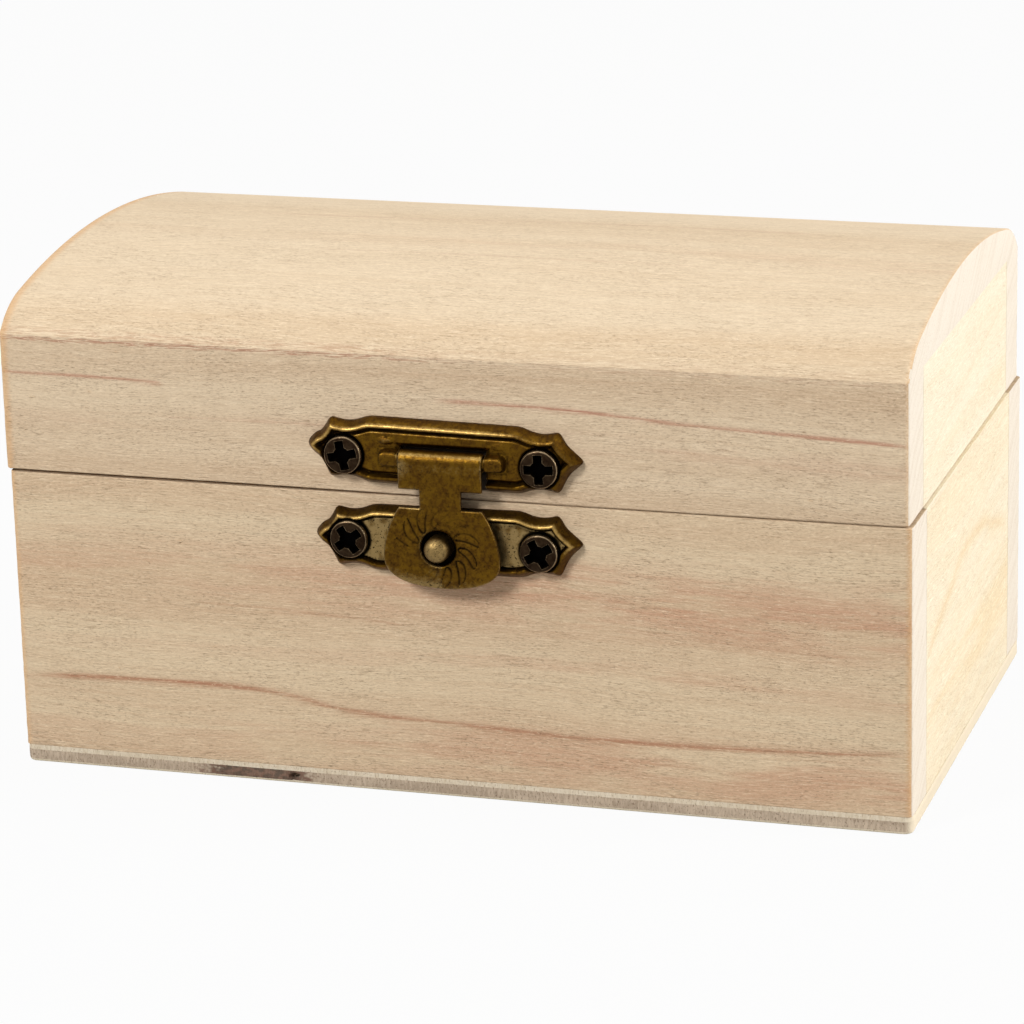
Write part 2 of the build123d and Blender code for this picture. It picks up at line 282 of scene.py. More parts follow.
woodTones = {
    # a growth line has its half width, its strength and the points that it runs through
    # a band is a darker stretch: its middle, half width and strength; fibres are torn bands
    "wallFace": {
        "pale": (229, 207, 174), "deep": (211, 180, 147), "pore": (158, 130, 100), "rosy": (206, 160, 130),
        "line": (182, 132, 102), "grain": "x", "seed": 3.0,
        "curves": [
            {"width": 0.34, "share": 0.9,
             "points": [(-46, 8.2), (-25, 9.7), (-10, 8.0), (0, 7.6), (15, 7.2), (46, 8.4)]},
            {"width": 0.16, "share": 0.35, "points": [(-27, 18.2), (-17, 18.0), (-4, 17.2)]},
            {"width": 0.18, "share": 0.3, "points": [(16, 18.6), (28, 17.9), (40, 17.2)]},
        ],
        "bands": [(20.5, 4.5, 0.45), (3.0, 2.6, 0.3), (29.0, 1.5, 0.25)],
        "rosyBands": [(21.5, 4.4, 0.95), (4.0, 3.6, 0.7), (13.5, 1.2, 0.4)], "fibres": [],
    },
    "lidFace": {
        "pale": (230, 208, 177), "deep": (212, 184, 152), "pore": (156, 126, 98), "rosy": (208, 164, 138),
        "line": (186, 130, 106), "grain": "x", "seed": 8.0,
        "curves": [
            {"width": 0.2, "share": 0.65, "points": [(-46, 40.4), (-36, 40.3), (-28, 40.0)]},
            {"width": 0.22, "share": 0.8,
             "points": [(-2, 40.0), (12, 39.7), (24, 39.0), (34, 38.6), (46, 38.0)]},
            {"width": 0.15, "share": 0.3, "points": [(-30, 36.6), (-14, 36.9), (0, 36.2), (8, 35.9)]},
        ],
        "bands": [(42.6, 1.8, 0.4), (31.5, 1.4, 0.3)],
        "rosyBands": [(36.4, 1.2, 0.3)], "fibres": [(43.85, 0.3, 0.75)],
    },
    "topFace": {
        "pale": (233, 212, 181), "deep": (221, 195, 161), "pore": (182, 152, 120), "rosy": (216, 180, 148),
        "line": (206, 170, 140), "grain": "top", "seed": 15.0,
        "curves": [
            {"width": 0.3, "share": 0.4, "points": [(-30, 5.0), (-10, 6.0), (10, 7.5), (30, 7.0)]},
            {"width": 0.2, "share": 0.35, "points": [(-20, -8.0), (0, -7.4), (22, -8.2)]},
        ],
        "bands": [(-24.5, 3.0, 0.5), (5.0, 3.0, 0.25), (18.0, 2.4, 0.3)],
        "rosyBands": [(-4.0, 2.5, 0.3)], "fibres": [(-26.6, 0.4, 0.7)],
    },
    "sideFace": {
        "pale": (246, 233, 208), "deep": (240, 218, 180), "pore": (214, 188, 150), "rosy": (240, 206, 150),
        "line": (234, 200, 150), "grain": "y", "seed": 21.0,
        "curves": [
            {"width": 1.0, "share": 0.5,
             "points": [(-21, 15.0), (-10, 18.5), (2, 20.8), (12, 19.0), (21, 15.5)]},
        ],
        "bands": [(8.0, 6.0, 0.25)], "rosyBands": [(10.0, 5.0, 0.35)], "fibres": [],
    },
    "lidSideFace": {
        "pale": (246, 234, 210), "deep": (240, 223, 190), "pore": (216, 190, 154), "rosy": (238, 212, 168),
        "line": (232, 204, 166), "grain": "y", "seed": 27.0,
        "curves": [{"width": 0.4, "share": 0.25, "points": [(-21, 34.0), (0, 37.5), (21, 40.5)]}],
        "bands": [(38.0, 3.0, 0.2)], "rosyBands": [(33.0, 2.0, 0.25)], "fibres": [],
    },
}
grainNoise = {   # rate along the grain and across it, detail, and where the noise starts
    "fine": (0.05, 2.6, 2.0, 0.0), "hair": (0.5, 8.0, 2.0, 11.0), "grit": (2.4, 9.0, 2.0, 23.0),
    "longPores": (0.9, 7.5, 1.5, 0.0), "shortPores": (2.0, 10.0, 1.0, 5.0),
}
edgeWarmth = {   # the sanded ends of the long boards, on their outer faces
    "from": 44.1, "to": 44.9, "front": -26.9, "colour": (222, 172, 118), "share": 0.55,
}
sawCut = {   # the cut between base and lid, where it meets the outside
    "height": 30.4, "half": 0.09, "front": -26.75, "ends": 44.7, "colour": (84, 56, 36), "share": 0.75,
    "faint": 0.35, "fadeTo": 0.0,   # fainter to the right of that x
    "endHalf": 0.03,                # thinner on the end boards
}
slotShade = {   # painted shade on the wood behind the hasp's slot and under the plate's shoulders, where the narrow gap gets little light
    "halfWidth": 4.6, "low": 31.2, "high": 35.6, "front": -26.9, "colour": (26, 15, 9), "share": 0.95,
}


def grainPlaces(graph, grain):   # along the grain, across it on the face, and into the board
    x, y, z = graph.place()
    return {"x": (x, z, y), "y": (y, z, x), "top": (x, y, z)}[grain]


def growthLine(graph, along, across, line):   # 1 on the line, with soft sides and faded ends
    points = line["points"]
    first, last = points[0][0], points[-1][0]
    top = max(height for _, height in points)
    foot = min(height for _, height in points)
    span = max(top - foot, 0.5)
    shares = [((x - first) / (last - first), (height - foot) / span) for x, height in points]
    place = (along - first) / (last - first)
    level = graph.add("ShaderNodeFloatCurve", {"curve": shares}, {"Value": place}) * span + foot
    off = (across - level) / line["width"]
    ends = place.fade(0.0, 0.08) * place.fade(0.92, 1.0, 1.0, 0.0)
    return line["share"] * ends / ((1 + off * off) * (1 + off * off))


def warmEnds(graph, base, grain, along, inward, grit):
    reach = abs(along + (grit - 0.5) * 0.8)
    warm = reach.fade(edgeWarmth["from"], edgeWarmth["to"], 0.0, edgeWarmth["share"])
    if grain == "x":
        warm = warm * inward.fade(edgeWarmth["front"], edgeWarmth["front"] + 0.5, 1.0, 0.0)
    return graph.tint(warm, base, colour(*edgeWarmth["colour"]))


def darkCut(graph, base, grain, along, across, inward):
    x, y = (along, inward) if grain == "x" else (inward, along)
    outside = y.fade(sawCut["front"] - 0.1, sawCut["front"] + 0.2, 1.0, 0.0)
    outside = x.math("MAXIMUM", outside, abs(x).fade(sawCut["ends"] - 0.4, sawCut["ends"]))
    half = sawCut["half"] if grain == "x" else sawCut["endHalf"]
    cut = abs(across - sawCut["height"]).fade(half, half * 2, sawCut["share"], 0.0)
    shown = x.fade(sawCut["fadeTo"] - 20, sawCut["fadeTo"], 1.0, sawCut["faint"])
    return graph.tint(outside * cut * shown, base, colour(*sawCut["colour"]))


# paints the shade of the slot's gap onto the wood, as a dark patch
def paintSlotShade(graph, base, along, across, inward):
    beside = abs(along).fade(slotShade["halfWidth"] - 0.2, slotShade["halfWidth"], 1.0, 0.0)
    upright = across.fade(slotShade["low"], slotShade["low"] + 0.3)
    upright = upright * across.fade(slotShade["high"] - 0.2, slotShade["high"], 1.0, 0.0)
    stain = beside * upright * inward.fade(slotShade["front"] - 0.05, slotShade["front"], 1.0, 0.0)
    return graph.tint(stain * slotShade["share"], base, colour(*slotShade["colour"]))


def woodMaterial(name, tone):
    material, graph = newMaterial(name)
    grain, seed = tone["grain"], tone["seed"]
    along, across, inward = grainPlaces(graph, grain)

    def streaks(kind):   # noise drawn out along the grain
        length, fineness, detail, shift = grainNoise[kind]
        place = graph.vector(along * length, rise * fineness + shift, inward * fineness + seed)
        return graph.noise(place, detail, 0.6)

    def stripes(bands, waver):   # soft bands that sway with the grain
        total = 0.0
        for centre, halfWidth, share in bands:
            total = abs(across + sway * waver - centre).fade(0.0, halfWidth * 1.4, share, 0.0) + total
        return total

    sway = graph.noise(graph.vector(along * 0.022, across * 0.05, inward * 0.05 + seed), 1.0) - 0.5
    rise = across + sway * 5.0
    broad = graph.noise(graph.vector(along * 0.008, rise * 0.22, inward * 0.12 + seed), 2.0, 0.55)
    fine, hair, grit = streaks("fine"), streaks("hair"), streaks("grit")
    patches = graph.noise(graph.vector(along * 0.07, across * 0.5, inward * 0.5 + seed * 3), 2.0, 0.55)
    depth = broad.fade(0.32, 0.72) * 0.45 + fine.fade(0.35, 0.7) * 0.25 + stripes(tone["bands"], 3.0)
    base = graph.tint(depth.math("MINIMUM", depth, 1.0), colour(*tone["pale"]), colour(*tone["deep"]))
    rosy = stripes(tone["rosyBands"], 6.0) * patches.fade(0.34, 0.58) * (fine * 1.2 + 0.25)
    rosy = rosy * along.fade(-32.0, 12.0, 0.35, 1.0)   # weaker at the left
    base = graph.tint(rosy.math("MINIMUM", rosy, 1.0), base, colour(*tone["rosy"]))
    for line in tone["curves"]:
        mask = growthLine(graph, along, across + (fine - 0.5) * 0.7 + (hair - 0.5) * 0.2, line)
        base = graph.tint(mask * (patches * 1.3 + 0.3), base, colour(*tone["line"]))
    for centre, halfWidth, share in tone["fibres"]:
        torn = abs(across - centre + (hair - 0.5) * 0.4).fade(halfWidth * 0.5, halfWidth, share, 0.0)
        torn = torn * hair.fade(0.45, 0.58) * along.fade(-10.0, 5.0, 1.0, 0.25)
        base = graph.tint(torn, base, colour(*tone["line"]))
    gather = graph.noise(graph.vector(along * 0.12, across * 0.3, inward * 0.3 + seed * 2), 1.0)
    longPores = streaks("longPores").fade(0.58, 0.74)
    shortPores = streaks("shortPores").fade(0.58, 0.74)
    pores = (longPores * 0.4 + shortPores * 0.45) * gather.fade(0.3, 0.65, 0.35, 1.0)
    dark = pores + hair.fade(0.5, 0.75) * 0.3 + grit.fade(0.5, 0.75) * 0.32
    base = graph.tint(dark.math("MINIMUM", dark, 0.8), base, colour(*tone["pore"]))
    lightest = colour(*[min(255, part + 22) for part in tone["pale"]])
    lift = (1 - hair.fade(0.28, 0.46)) * 0.46 + (1 - grit.fade(0.26, 0.44)) * 0.52
    base = graph.tint(lift.math("MINIMUM", lift, 0.7), base, lightest)
    if grain == "top":   # painted sheen: paler towards the back, where the light grazes the top
        base = graph.tint(across.fade(8.0, 27.0) * 0.5, base, lightest)
    if grain != "y":
        base = warmEnds(graph, base, grain, along, inward, grit)
    if grain != "top":
        base = darkCut(graph, base, grain, along, across, inward)
    if name == "lidFace":
        base = paintSlotShade(graph, base, along, across, inward)
    height = grit * 0.5 + hair * 0.5 + fine * 0.3 - pores
    finishMaterial(graph, base, 0.74, height, 0.06, level=0.2)
    return material


endTone = {"pale": (238, 227, 211), "deep": (228, 214, 195), "pore": (190, 166, 136), "seed": 5.0}


def endGrainMaterial(tone):   # open pores and faint slanting rings where a board was cut across
    material, graph = newMaterial("endGrain")
    x, y, z = graph.place()
    sway = graph.noise(graph.vector(y * 0.09, z * 0.09, x * 0.02 + tone["seed"]), 2.0) - 0.5
    slant = z * 0.83 - y * 0.55 + sway * 3.0
    rings = graph.noise(graph.vector(x * 0.05, slant * 1.6, (y + z) * 0.04 + tone["seed"]), 2.0, 0.6)
    specks = graph.noise(graph.vector(x * 0.3, y * 7.0, z * 7.0), 2.0, 0.6)
    deep = rings.fade(0.4, 0.68) * 0.6 + specks.fade(0.42, 0.7) * 0.35
    base = graph.tint(deep, colour(*tone["pale"]), colour(*tone["deep"]))
    pores = specks.fade(0.6, 0.72)
    base = graph.tint(pores * 0.4, base, colour(*tone["pore"]))
    finishMaterial(graph, base, 0.8, specks * -0.8, 0.05, level=0.2)
    return material


plyTones = {
    "plyVeneer": {"pale": (238, 225, 203), "deep": (218, 202, 176), "pore": (174, 152, 124), "seed": 31.0},
    "plyOutside": {"pale": (252, 240, 216), "deep": (240, 226, 198), "pore": (190, 168, 138), "seed": 36.0},
    "plyCore": {"pale": (213, 194, 171), "deep": (178, 159, 138), "pore": (110, 88, 72), "seed": 33.0},
}
plyEnd = {"from": 44.2, "to": 44.9, "colour": (244, 230, 204), "share": 0.85}   # paler at the right end
plyStain = {"middle": -20.5, "reach": 6.0, "colour": (112, 78, 64), "dark": (52, 30, 24), "share": 0.8}


def plyMaterial(name, tone):   # sawn ply: fine upright strokes, and a stained stretch in the core
    material, graph = newMaterial(name)
    x, y, z = graph.place()
    strokes = graph.noise(graph.vector(x * 4.0, y * 4.0, z * 0.9 + tone["seed"]), 2.0, 0.6)
    broad = graph.noise(graph.vector(x * 0.09, y * 0.09, z * 0.5 + tone["seed"]), 2.0)
    deep = strokes.fade(0.3, 0.7) * 0.7 + broad.fade(0.3, 0.7) * 0.5
    base = graph.tint(deep.math("MINIMUM", deep, 1.0), colour(*tone["pale"]), colour(*tone["deep"]))
    pores = graph.noise(graph.vector(x * 7.0, y * 7.0, z * 4.0), 1.0).fade(0.58, 0.72)
    base = graph.tint(pores * 0.65, base, colour(*tone["pore"]))
    atEnd = x.fade(plyEnd["from"], plyEnd["to"], 0.0, plyEnd["share"])
    base = graph.tint(atEnd, base, colour(*plyEnd["colour"]))
    if name == "plyCore":
        rag = graph.noise(graph.vector(x * 1.2, y * 1.2, z * 2.0), 2.0, 0.6)
        reach = abs(x - plyStain["middle"]) + (rag - 0.5) * 7.0
        front = y.fade(-26.0, -20.0, 1.0, 0.0)
        stain = reach.fade(plyStain["reach"] * 0.7, plyStain["reach"], 1.0, 0.0) * front
        blot = graph.tint(rag.fade(0.4, 0.62), colour(*plyStain["colour"]), colour(*plyStain["dark"]))
        base = graph.tint(stain * plyStain["share"], base, blot)
    finishMaterial(graph, base, 0.8, strokes, 0.05, level=0.2)
    return material


materials = {name: woodMaterial(name, tone) for name, tone in woodTones.items()}
materials["endGrain"] = endGrainMaterial(endTone)
for plyName, plyTone in plyTones.items():
    materials[plyName] = plyMaterial(plyName, plyTone)
print("finish: wood")


# Antique bronze

bronzeTones = {
    "bronze": {
        "patina": (96, 69, 17), "brown": (70, 46, 14), "pale": (134, 112, 72), "rubbedAndHighlight": (172, 141, 82),
        "grime": (17, 9, 4), "rough": 0.41, "seed": 2.0,
    },
    "darkBronze": {
        "patina": (50, 38, 26), "brown": (34, 22, 13), "pale": (104, 88, 68), "rubbedAndHighlight": (150, 129, 100),
        "grime": (4, 3, 3), "rough": 0.34, "seed": 9.0,
    },
}


def bronzeMaterial(name, tone):   # wear with painted highlights, pallor, and grime with painted shade are painted on the pieces' points
    material, graph = newMaterial(name)
    x, y, z = graph.place()
    seed = tone["seed"]
    wear, pale, grime = [graph.add("ShaderNodeAttribute", {"attribute_name": label}, None, "Fac")
                         for label in ("wear", "pale", "grime")]
    cloud = graph.noise(graph.vector(x * 0.6, y * 0.6, z * 0.6 + seed), 3.0, 0.6)
    mottle = graph.noise(graph.vector(x * 2.2, y * 2.2, z * 2.2 + seed), 3.0, 0.65)
    speck = graph.noise(graph.vector(x * 6.0, y * 6.0, z * 6.0 + seed), 2.0, 0.6)
    brown = cloud.fade(0.35, 0.65) * 0.4 + mottle.fade(0.38, 0.62) * 0.6
    base = graph.tint(brown, colour(*tone["patina"]), colour(*tone["brown"]))
    pallor = (pale * 1.3 - mottle * 0.45 - cloud * 0.2 + (speck - 0.5) * 0.7).fade(0.0, 0.8)
    base = graph.tint(pallor, base, colour(*tone["pale"]))
    # rubbed bronze, together with painted highlights along crests and edges
    rubbedAndHighlight = (wear * 1.35 - mottle * 0.35 - cloud * 0.25 + (speck - 0.5) * 0.6).fade(0.05, 0.75)
    base = graph.tint(rubbedAndHighlight, base, colour(*tone["rubbedAndHighlight"]))
    freckle = (speck + (mottle - 0.5) * 0.5).fade(0.56, 0.69) * (1 - rubbedAndHighlight) * (pallor * 0.5 + 0.45)
    darkening = grime + freckle
    base = graph.tint(darkening.math("MINIMUM", darkening, 1.0), base, colour(*tone["grime"]))
    rough = tone["rough"] - rubbedAndHighlight * 0.03 + grime * 0.3 + (mottle - 0.5) * 0.3
    height = mottle * 0.6 + speck * 0.35 - freckle * 0.3
    finishMaterial(graph, base, rough, height, 0.045, metallic=1.0)
    return material


for bronzeName, bronzeTone in bronzeTones.items():
    materials[bronzeName] = bronzeMaterial(bronzeName, bronzeTone)
print("finish: bronze")


# Meshes

def addPiece(name, points, faces, finishes, body, nodes, smoothBelow=35.0):   # points in millimetres
    mesh = bpy.data.meshes.new(name)
    mesh.from_pydata([[part * mm for part in point] for point in points], [], faces)
    return dressPiece(name, mesh, finishes, body, nodes, smoothBelow)


def dressPiece(name, mesh, finishes, body, nodes, smoothBelow=35.0):
    mesh.materials.clear()
    for finish in finishes:
        mesh.materials.append(finish)
    mesh.shade_smooth()
    mesh.set_sharp_from_angle(angle=math.radians(smoothBelow))
    piece = bpy.data.objects.new(name, mesh)
    scene.collection.objects.link(piece)
    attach(piece, body)
    if nodes:
        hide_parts(*nodes)
    return piece


def jitter(x, y, z, pitch):   # a smooth random number between about -1 and 1
    return noise.noise(Vector((x / pitch, y / pitch, z / pitch)))


def roundedOutline(low, high, radii, step):
    # rectangle with a rounding at each corner, counted from the low corner anticlockwise
    corners = [(low[0], low[1], 180), (high[0], low[1], 270), (high[0], high[1], 0), (low[0], high[1], 90)]
    outline = []
    for (x, y, start), radius in zip(corners, radii):
        centreX = x + radius * (1 if x == low[0] else -1)
        centreY = y + radius * (1 if y == low[1] else -1)
        turns = max(3, round(radius * 8))
        for turn in range(turns + 1):
            angle = math.radians(start + 90 * turn / turns)
            outline.append((centreX + radius * math.cos(angle), centreY + radius * math.sin(angle)))
    spaced = []
    for here, there in zip(outline, outline[1:] + outline[:1]):
        gap = math.dist(here, there)
        parts = max(1, round(gap / step))
        shares = [part / parts for part in range(parts)]
        if gap > step:   # a point just past each corner keeps the long faces flat
            shares = sorted(set(shares) | {0.05 / gap, 1 - 0.05 / gap})
        spaced += [(here[0] + (there[0] - here[0]) * t, here[1] + (there[1] - here[1]) * t) for t in shares]
    return np.array(spaced)


def outwards(outline):   # unit normals of an anticlockwise outline
    ahead = np.roll(outline, -1, 0) - outline
    behind = outline - np.roll(outline, 1, 0)
    ahead /= np.linalg.norm(ahead, axis=1)[:, None]
    behind /= np.linalg.norm(behind, axis=1)[:, None]
    run = ahead + behind
    run /= np.linalg.norm(run, axis=1)[:, None]
    return np.column_stack([run[:, 1], -run[:, 0]])


def loftFaces(rows, count):   # quads between rings, and a cap at both ends
    faces = [tuple(range(count))[::-1], tuple(range((rows - 1) * count, rows * count))]
    for row in range(rows - 1):
        for spot in range(count):
            near, far = row * count + spot, row * count + (spot + 1) % count
            faces.append((near, far, far + count, near + count))
    return faces


board = {
    "step": 0.8,          # between points along the grain
    "rowStep": 0.7,       # between rings up the board
    "ease": 0.14,         # rounding of a sawn and sanded edge
    "endEase": 0.06,      # the same on the end and back boards
    "easeRows": 4,
    "wear": 0.035,        # how far the edges waver
    "wearPitch": 0.9,
    "wearReach": 0.6,     # how far from an edge, and from an end
    "wearEnds": 1.2,
    "corner": 0.6,
    "joint": 0.07,        # rounding where two boards are glued
    "sag": -0.13,         # how far the lid's front comes down to the saw cut
    "sagFrom": -20.0,
    "sagRun": 25.0,
    "endSag": -0.15,      # the same for the lid's end and back boards
}


def easedRows(low, high, lowEase, highEase):   # heights and insets of a board's rings
    turns = [math.pi / 2 * part / board["easeRows"] for part in range(board["easeRows"] + 1)]
    quarter = [(1 - math.sin(turn), 1 - math.cos(turn)) for turn in turns]
    rows = sorted((low + lowEase * along, lowEase * aside) for along, aside in quarter)
    count = max(1, round((high - low) / board["rowStep"]))
    lowest, highest = low + lowEase + 0.03, high - highEase - 0.03
    rows += [(lowest + (highest - lowest) * part / count, 0.0) for part in range(count + 1)]
    rows += sorted((high - highEase * along, highEase * aside) for along, aside in quarter)
    return rows


def uprightBoard(name, radii, eases, finishes, body, sag=None):
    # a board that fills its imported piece, with rounded corners in plan and eased edges
    low, high = boxOf(name)
    outline = roundedOutline(low[:2], high[:2], radii, board["step"])
    facing = outwards(outline)
    points = []
    for height, inset in easedRows(low[2], high[2], *eases):
        edge = max(0.0, 1 - min(height - low[2], high[2] - height) / board["wearReach"])
        for (x, y), (aside, out) in zip(outline, facing):
            nearCorner = max(edge, 1.0 if min(x - low[0], high[0] - x) < board["wearEnds"] else 0.0)
            shrink = inset + board["wear"] * nearCorner * (1 + jitter(x, y, height, board["wearPitch"]))
            up = board["wear"] * edge * jitter(x, y + 7.0, height, board["wearPitch"])
            lower = sag(x) * edge * (height < (low[2] + high[2]) / 2) if sag else 0.0
            level = min(max(height + up, low[2]), high[2]) + lower
            points.append((x - aside * shrink, y - out * shrink, level))
    faces = loftFaces(len(points) // len(outline), len(outline))
    endGrain(addPiece(name + "_wood", points, faces, finishes, body, [name]))


def endGrain(piece):   # the second finish goes on the faces that cut across the grain
    if len(piece.data.materials) < 2:
        return
    for face in piece.data.polygons:
        face.material_index = 1 if abs(face.normal.x) > 0.75 else 0


def closing(x):   # the saw cut closes up towards the right
    return board["sag"] * min(max((x - board["sagFrom"]) / board["sagRun"], 0), 1)


def endClosing(x):   # and is nearly closed along the ends and the back
    return board["endSag"]


def makeWalls():
    corner, ease, joint, endEase = board["corner"], board["ease"], board["joint"], board["endEase"]
    face, end, side = materials["wallFace"], materials["endGrain"], materials["sideFace"]
    lidFace, lidSide = materials["lidFace"], materials["lidSideFace"]
    front, back, plain = (corner, corner, joint, joint), (joint, joint, corner, corner), (joint,) * 4
    uprightBoard("base_front_panel", front, (joint, ease), [face, end], "base")
    uprightBoard("base_back_panel", back, (joint, endEase), [face, end], "base")
    uprightBoard("base_left_end", plain, (joint, endEase), [side], "base")
    uprightBoard("base_right_end", plain, (joint, endEase), [side], "base")
    uprightBoard("lid_front_panel", front, (ease, joint), [lidFace, end], "lid", closing)
    uprightBoard("lid_back_panel", back, (endEase, joint), [lidFace, end], "lid", endClosing)
    uprightBoard("lid_left_end", plain, (endEase, joint), [lidSide], "lid", endClosing)
    uprightBoard("lid_right_end", plain, (endEase, joint), [lidSide], "lid", endClosing)


makeWalls()
print("pieces: walls")


ply = {
    "step": 0.25,         # between points round the sheet
    "rowStep": 0.12,      # between rings up its edge
    "corner": 1.0,
    "foot": 0.42,         # rounding of the underside's edge
    "wear": 0.021,        # how far the edge wavers
    "wearPitch": 0.7,
    "pitAt": (-16.6, 0.72), "pitReach": (0.42, 0.3), "pitDepth": 0.9,
    "sheets": {
        "bottom_outer_veneer": {"finish": "plyOutside", "slot": "ply_veneer"},
        "bottom_core": {"finish": "plyCore", "slot": "ply_core"},
        "bottom_inner_veneer": {"finish": "plyVeneer", "slot": "ply_veneer"},
    },
}


def footInset(height):   # how far the rounded foot draws in at a height
    under = min(max(0.0, ply["foot"] - height), ply["foot"])
    return ply["foot"] - math.sqrt(ply["foot"] ** 2 - under ** 2)


def pitDepth(x, y, z, frontY):   # an open knot in the core's front edge
    if y > frontY + 1:
        return 0.0
    (atX, atZ), (reachX, reachZ) = ply["pitAt"], ply["pitReach"]
    away = ((x - atX) / reachX) ** 2 + ((z - atZ) / reachZ) ** 2
    return ply["pitDepth"] / (1 + away ** 3)


def makePly():
    edgeLow, edgeHigh = boxOf("bottom_inner_veneer")
    outline = roundedOutline(edgeLow[:2], edgeHigh[:2], (ply["corner"],) * 4, ply["step"])
    facing = outwards(outline)
    for node, sheet in ply["sheets"].items():
        low, high = boxOf(node)
        rows = max(3, round((high[2] - low[2]) / ply["rowStep"]))
        points = []
        for row in range(rows + 1):
            height = low[2] + (high[2] - low[2]) * row / rows
            for (x, y), (aside, out) in zip(outline, facing):
                shrink = footInset(height) + ply["wear"] * (1 + jitter(x, y, height, ply["wearPitch"]))
                if node == "bottom_core":
                    shrink += pitDepth(x, y, height, edgeLow[1])
                points.append((x - aside * shrink, y - out * shrink, height))
        faces = loftFaces(rows + 1, len(outline))
        addPiece(node + "_sheet", points, faces, [materials[sheet["finish"]]], "base", [node])


makePly()
print("pieces: bottom")


# Geometry Nodes

def sizedTree(name, sizes):   # a geometry tree with a named input for each size
    tree = bpy.data.node_groups.new(name, "GeometryNodeTree")
    tree.interface.new_socket("Geometry", in_out="INPUT", socket_type="NodeSocketGeometry")
    for label in sizes:
        tree.interface.new_socket(label, in_out="INPUT", socket_type="NodeSocketFloat")
    tree.interface.new_socket("Geometry", in_out="OUTPUT", socket_type="NodeSocketGeometry")
    graph = Graph(tree)
    entry = graph.add("NodeGroupInput")
    return graph, {label: entry.sibling(label) for label in ["Geometry", *sizes]}


def closeTree(graph, shape, finish):   # real mesh with its finish, as the tree's result
    shape = graph.add("GeometryNodeRealizeInstances", None, {"Geometry": shape})
    shape = graph.add("GeometryNodeSetMaterial", None, {"Geometry": shape, "Material": finish})
    graph.add("NodeGroupOutput", None, {"Geometry": shape})
    return graph.tree


def growMesh(name, tree, sizes, seedMesh=None):   # runs a tree once and keeps its plain mesh
    holder = bpy.data.objects.new(name, seedMesh or bpy.data.meshes.new(name))
    scene.collection.objects.link(holder)
    modifier = holder.modifiers.new(name, "NODES")
    modifier.node_group = tree
    for socket in tree.interface.items_tree:
        if socket.in_out == "INPUT" and socket.name in sizes:
            modifier[socket.identifier] = float(sizes[socket.name])
    evaluated = holder.evaluated_get(bpy.context.evaluated_depsgraph_get())
    mesh = bpy.data.meshes.new_from_object(evaluated)
    bpy.data.objects.remove(holder)
    return mesh


lidArch = {
    "shoulderRadius": 9.5,
    "fullness": 1.105,    # how steeply the shoulder passes into the crown
    "corner": 0.6,
    "ease": 0.25,
    "columns": 131,
    "rows": 81,
    "rag": 0.1,           # how far the ridge wavers
}


def archSizes(low, high):   # the two arcs of the arch, from its reach and rise
    half, rise, radius = (high[1] - low[1]) / 2, high[2] - low[2], lidArch["shoulderRadius"]
    join = lidArch["fullness"] * math.atan(rise / half)
    spare = rise - half * math.tan(join / 2)
    start = join / 2 + math.acos((1 - spare / radius) * math.cos(join / 2))
    crown = (half - radius * (math.sin(start) - math.sin(join))) / math.sin(join)
    joinX, joinZ = crown * math.sin(join), rise - crown * (1 - math.cos(join))
    return {
        "Half Length": (high[0] - low[0]) / 2, "Half Depth": half, "Rise": rise, "Crown Radius": crown,
        "Join": joinX, "Shoulder Radius": radius, "Shoulder Out": joinX - radius * math.sin(join),
        "Shoulder Up": joinZ - radius * math.cos(join), "Corner": lidArch["corner"],
        "Ease": lidArch["ease"], "Rag": lidArch["rag"], "Middle": (low[0] + high[0]) / 2, "Foot": low[2],
    }


def archTree(sizes, finish):
    graph, given = sizedTree("archedLid", sizes)
    halfLength, halfDepth = given["Half Length"], given["Half Depth"]
    size = graph.vector(2.0, 2.0, 2.0)
    counts = {"Size": size, "Vertices Y": lidArch["rows"], "Vertices Z": 2}
    block = graph.add("GeometryNodeMeshCube", None, {"Vertices X": lidArch["columns"], **counts})
    u = graph.add("ShaderNodeSeparateXYZ", None, {0: graph.add("GeometryNodeInputPosition")})
    v, w = u.sibling("Y"), u.sibling("Z")
    x = halfLength * (1.45 * u - 0.45 * u * u * u)   # rings crowd towards the ends
    y = halfDepth * (1.25 * v - 0.25 * v * v * v)
    out = abs(y)
    crown = given["Rise"] - given["Crown Radius"] + (given["Crown Radius"] ** 2 - out * out) ** 0.5
    aside = out - given["Shoulder Out"]
    shoulder = given["Shoulder Up"] + (given["Shoulder Radius"] ** 2 - aside * aside) ** 0.5
    onShoulder = out.math("GREATER_THAN", out, given["Join"])
    arch = crown + (shoulder - crown) * onShoulder
    end = abs(x) - halfLength
    lean = (end / given["Ease"] + 1).math("MAXIMUM", end / given["Ease"] + 1, 0.0)
    arch = arch - given["Ease"] * (1 - (1.0001 - lean * lean) ** 0.5)
    arch = arch.math("MAXIMUM", arch, 0.004)
    bite = (end / given["Corner"] + 1).math("MAXIMUM", end / given["Corner"] + 1, 0.0)
    draw = given["Corner"] * (1 - (1.0001 - bite * bite) ** 0.5)
    rough = graph.noise(graph.vector(x * 1.3, y * 0.8, arch * 3.0), 3.0, 0.6)
    nearRidge = arch.fade(0.0, 0.9, 1.0, 0.0)
    y = y * (1 - (draw + given["Rag"] * rough * nearRidge) / halfDepth)
    z = given["Foot"] + arch * w.math("GREATER_THAN", w, 0.0)
    spot = graph.vector((x + given["Middle"]) * mm, y * mm, z * mm)
    block = graph.add("GeometryNodeSetPosition", None, {"Geometry": block, "Position": spot})
    block = graph.add("GeometryNodeMergeByDistance", None, {"Geometry": block, "Distance": 0.00001})
    return closeTree(graph, block, finish)


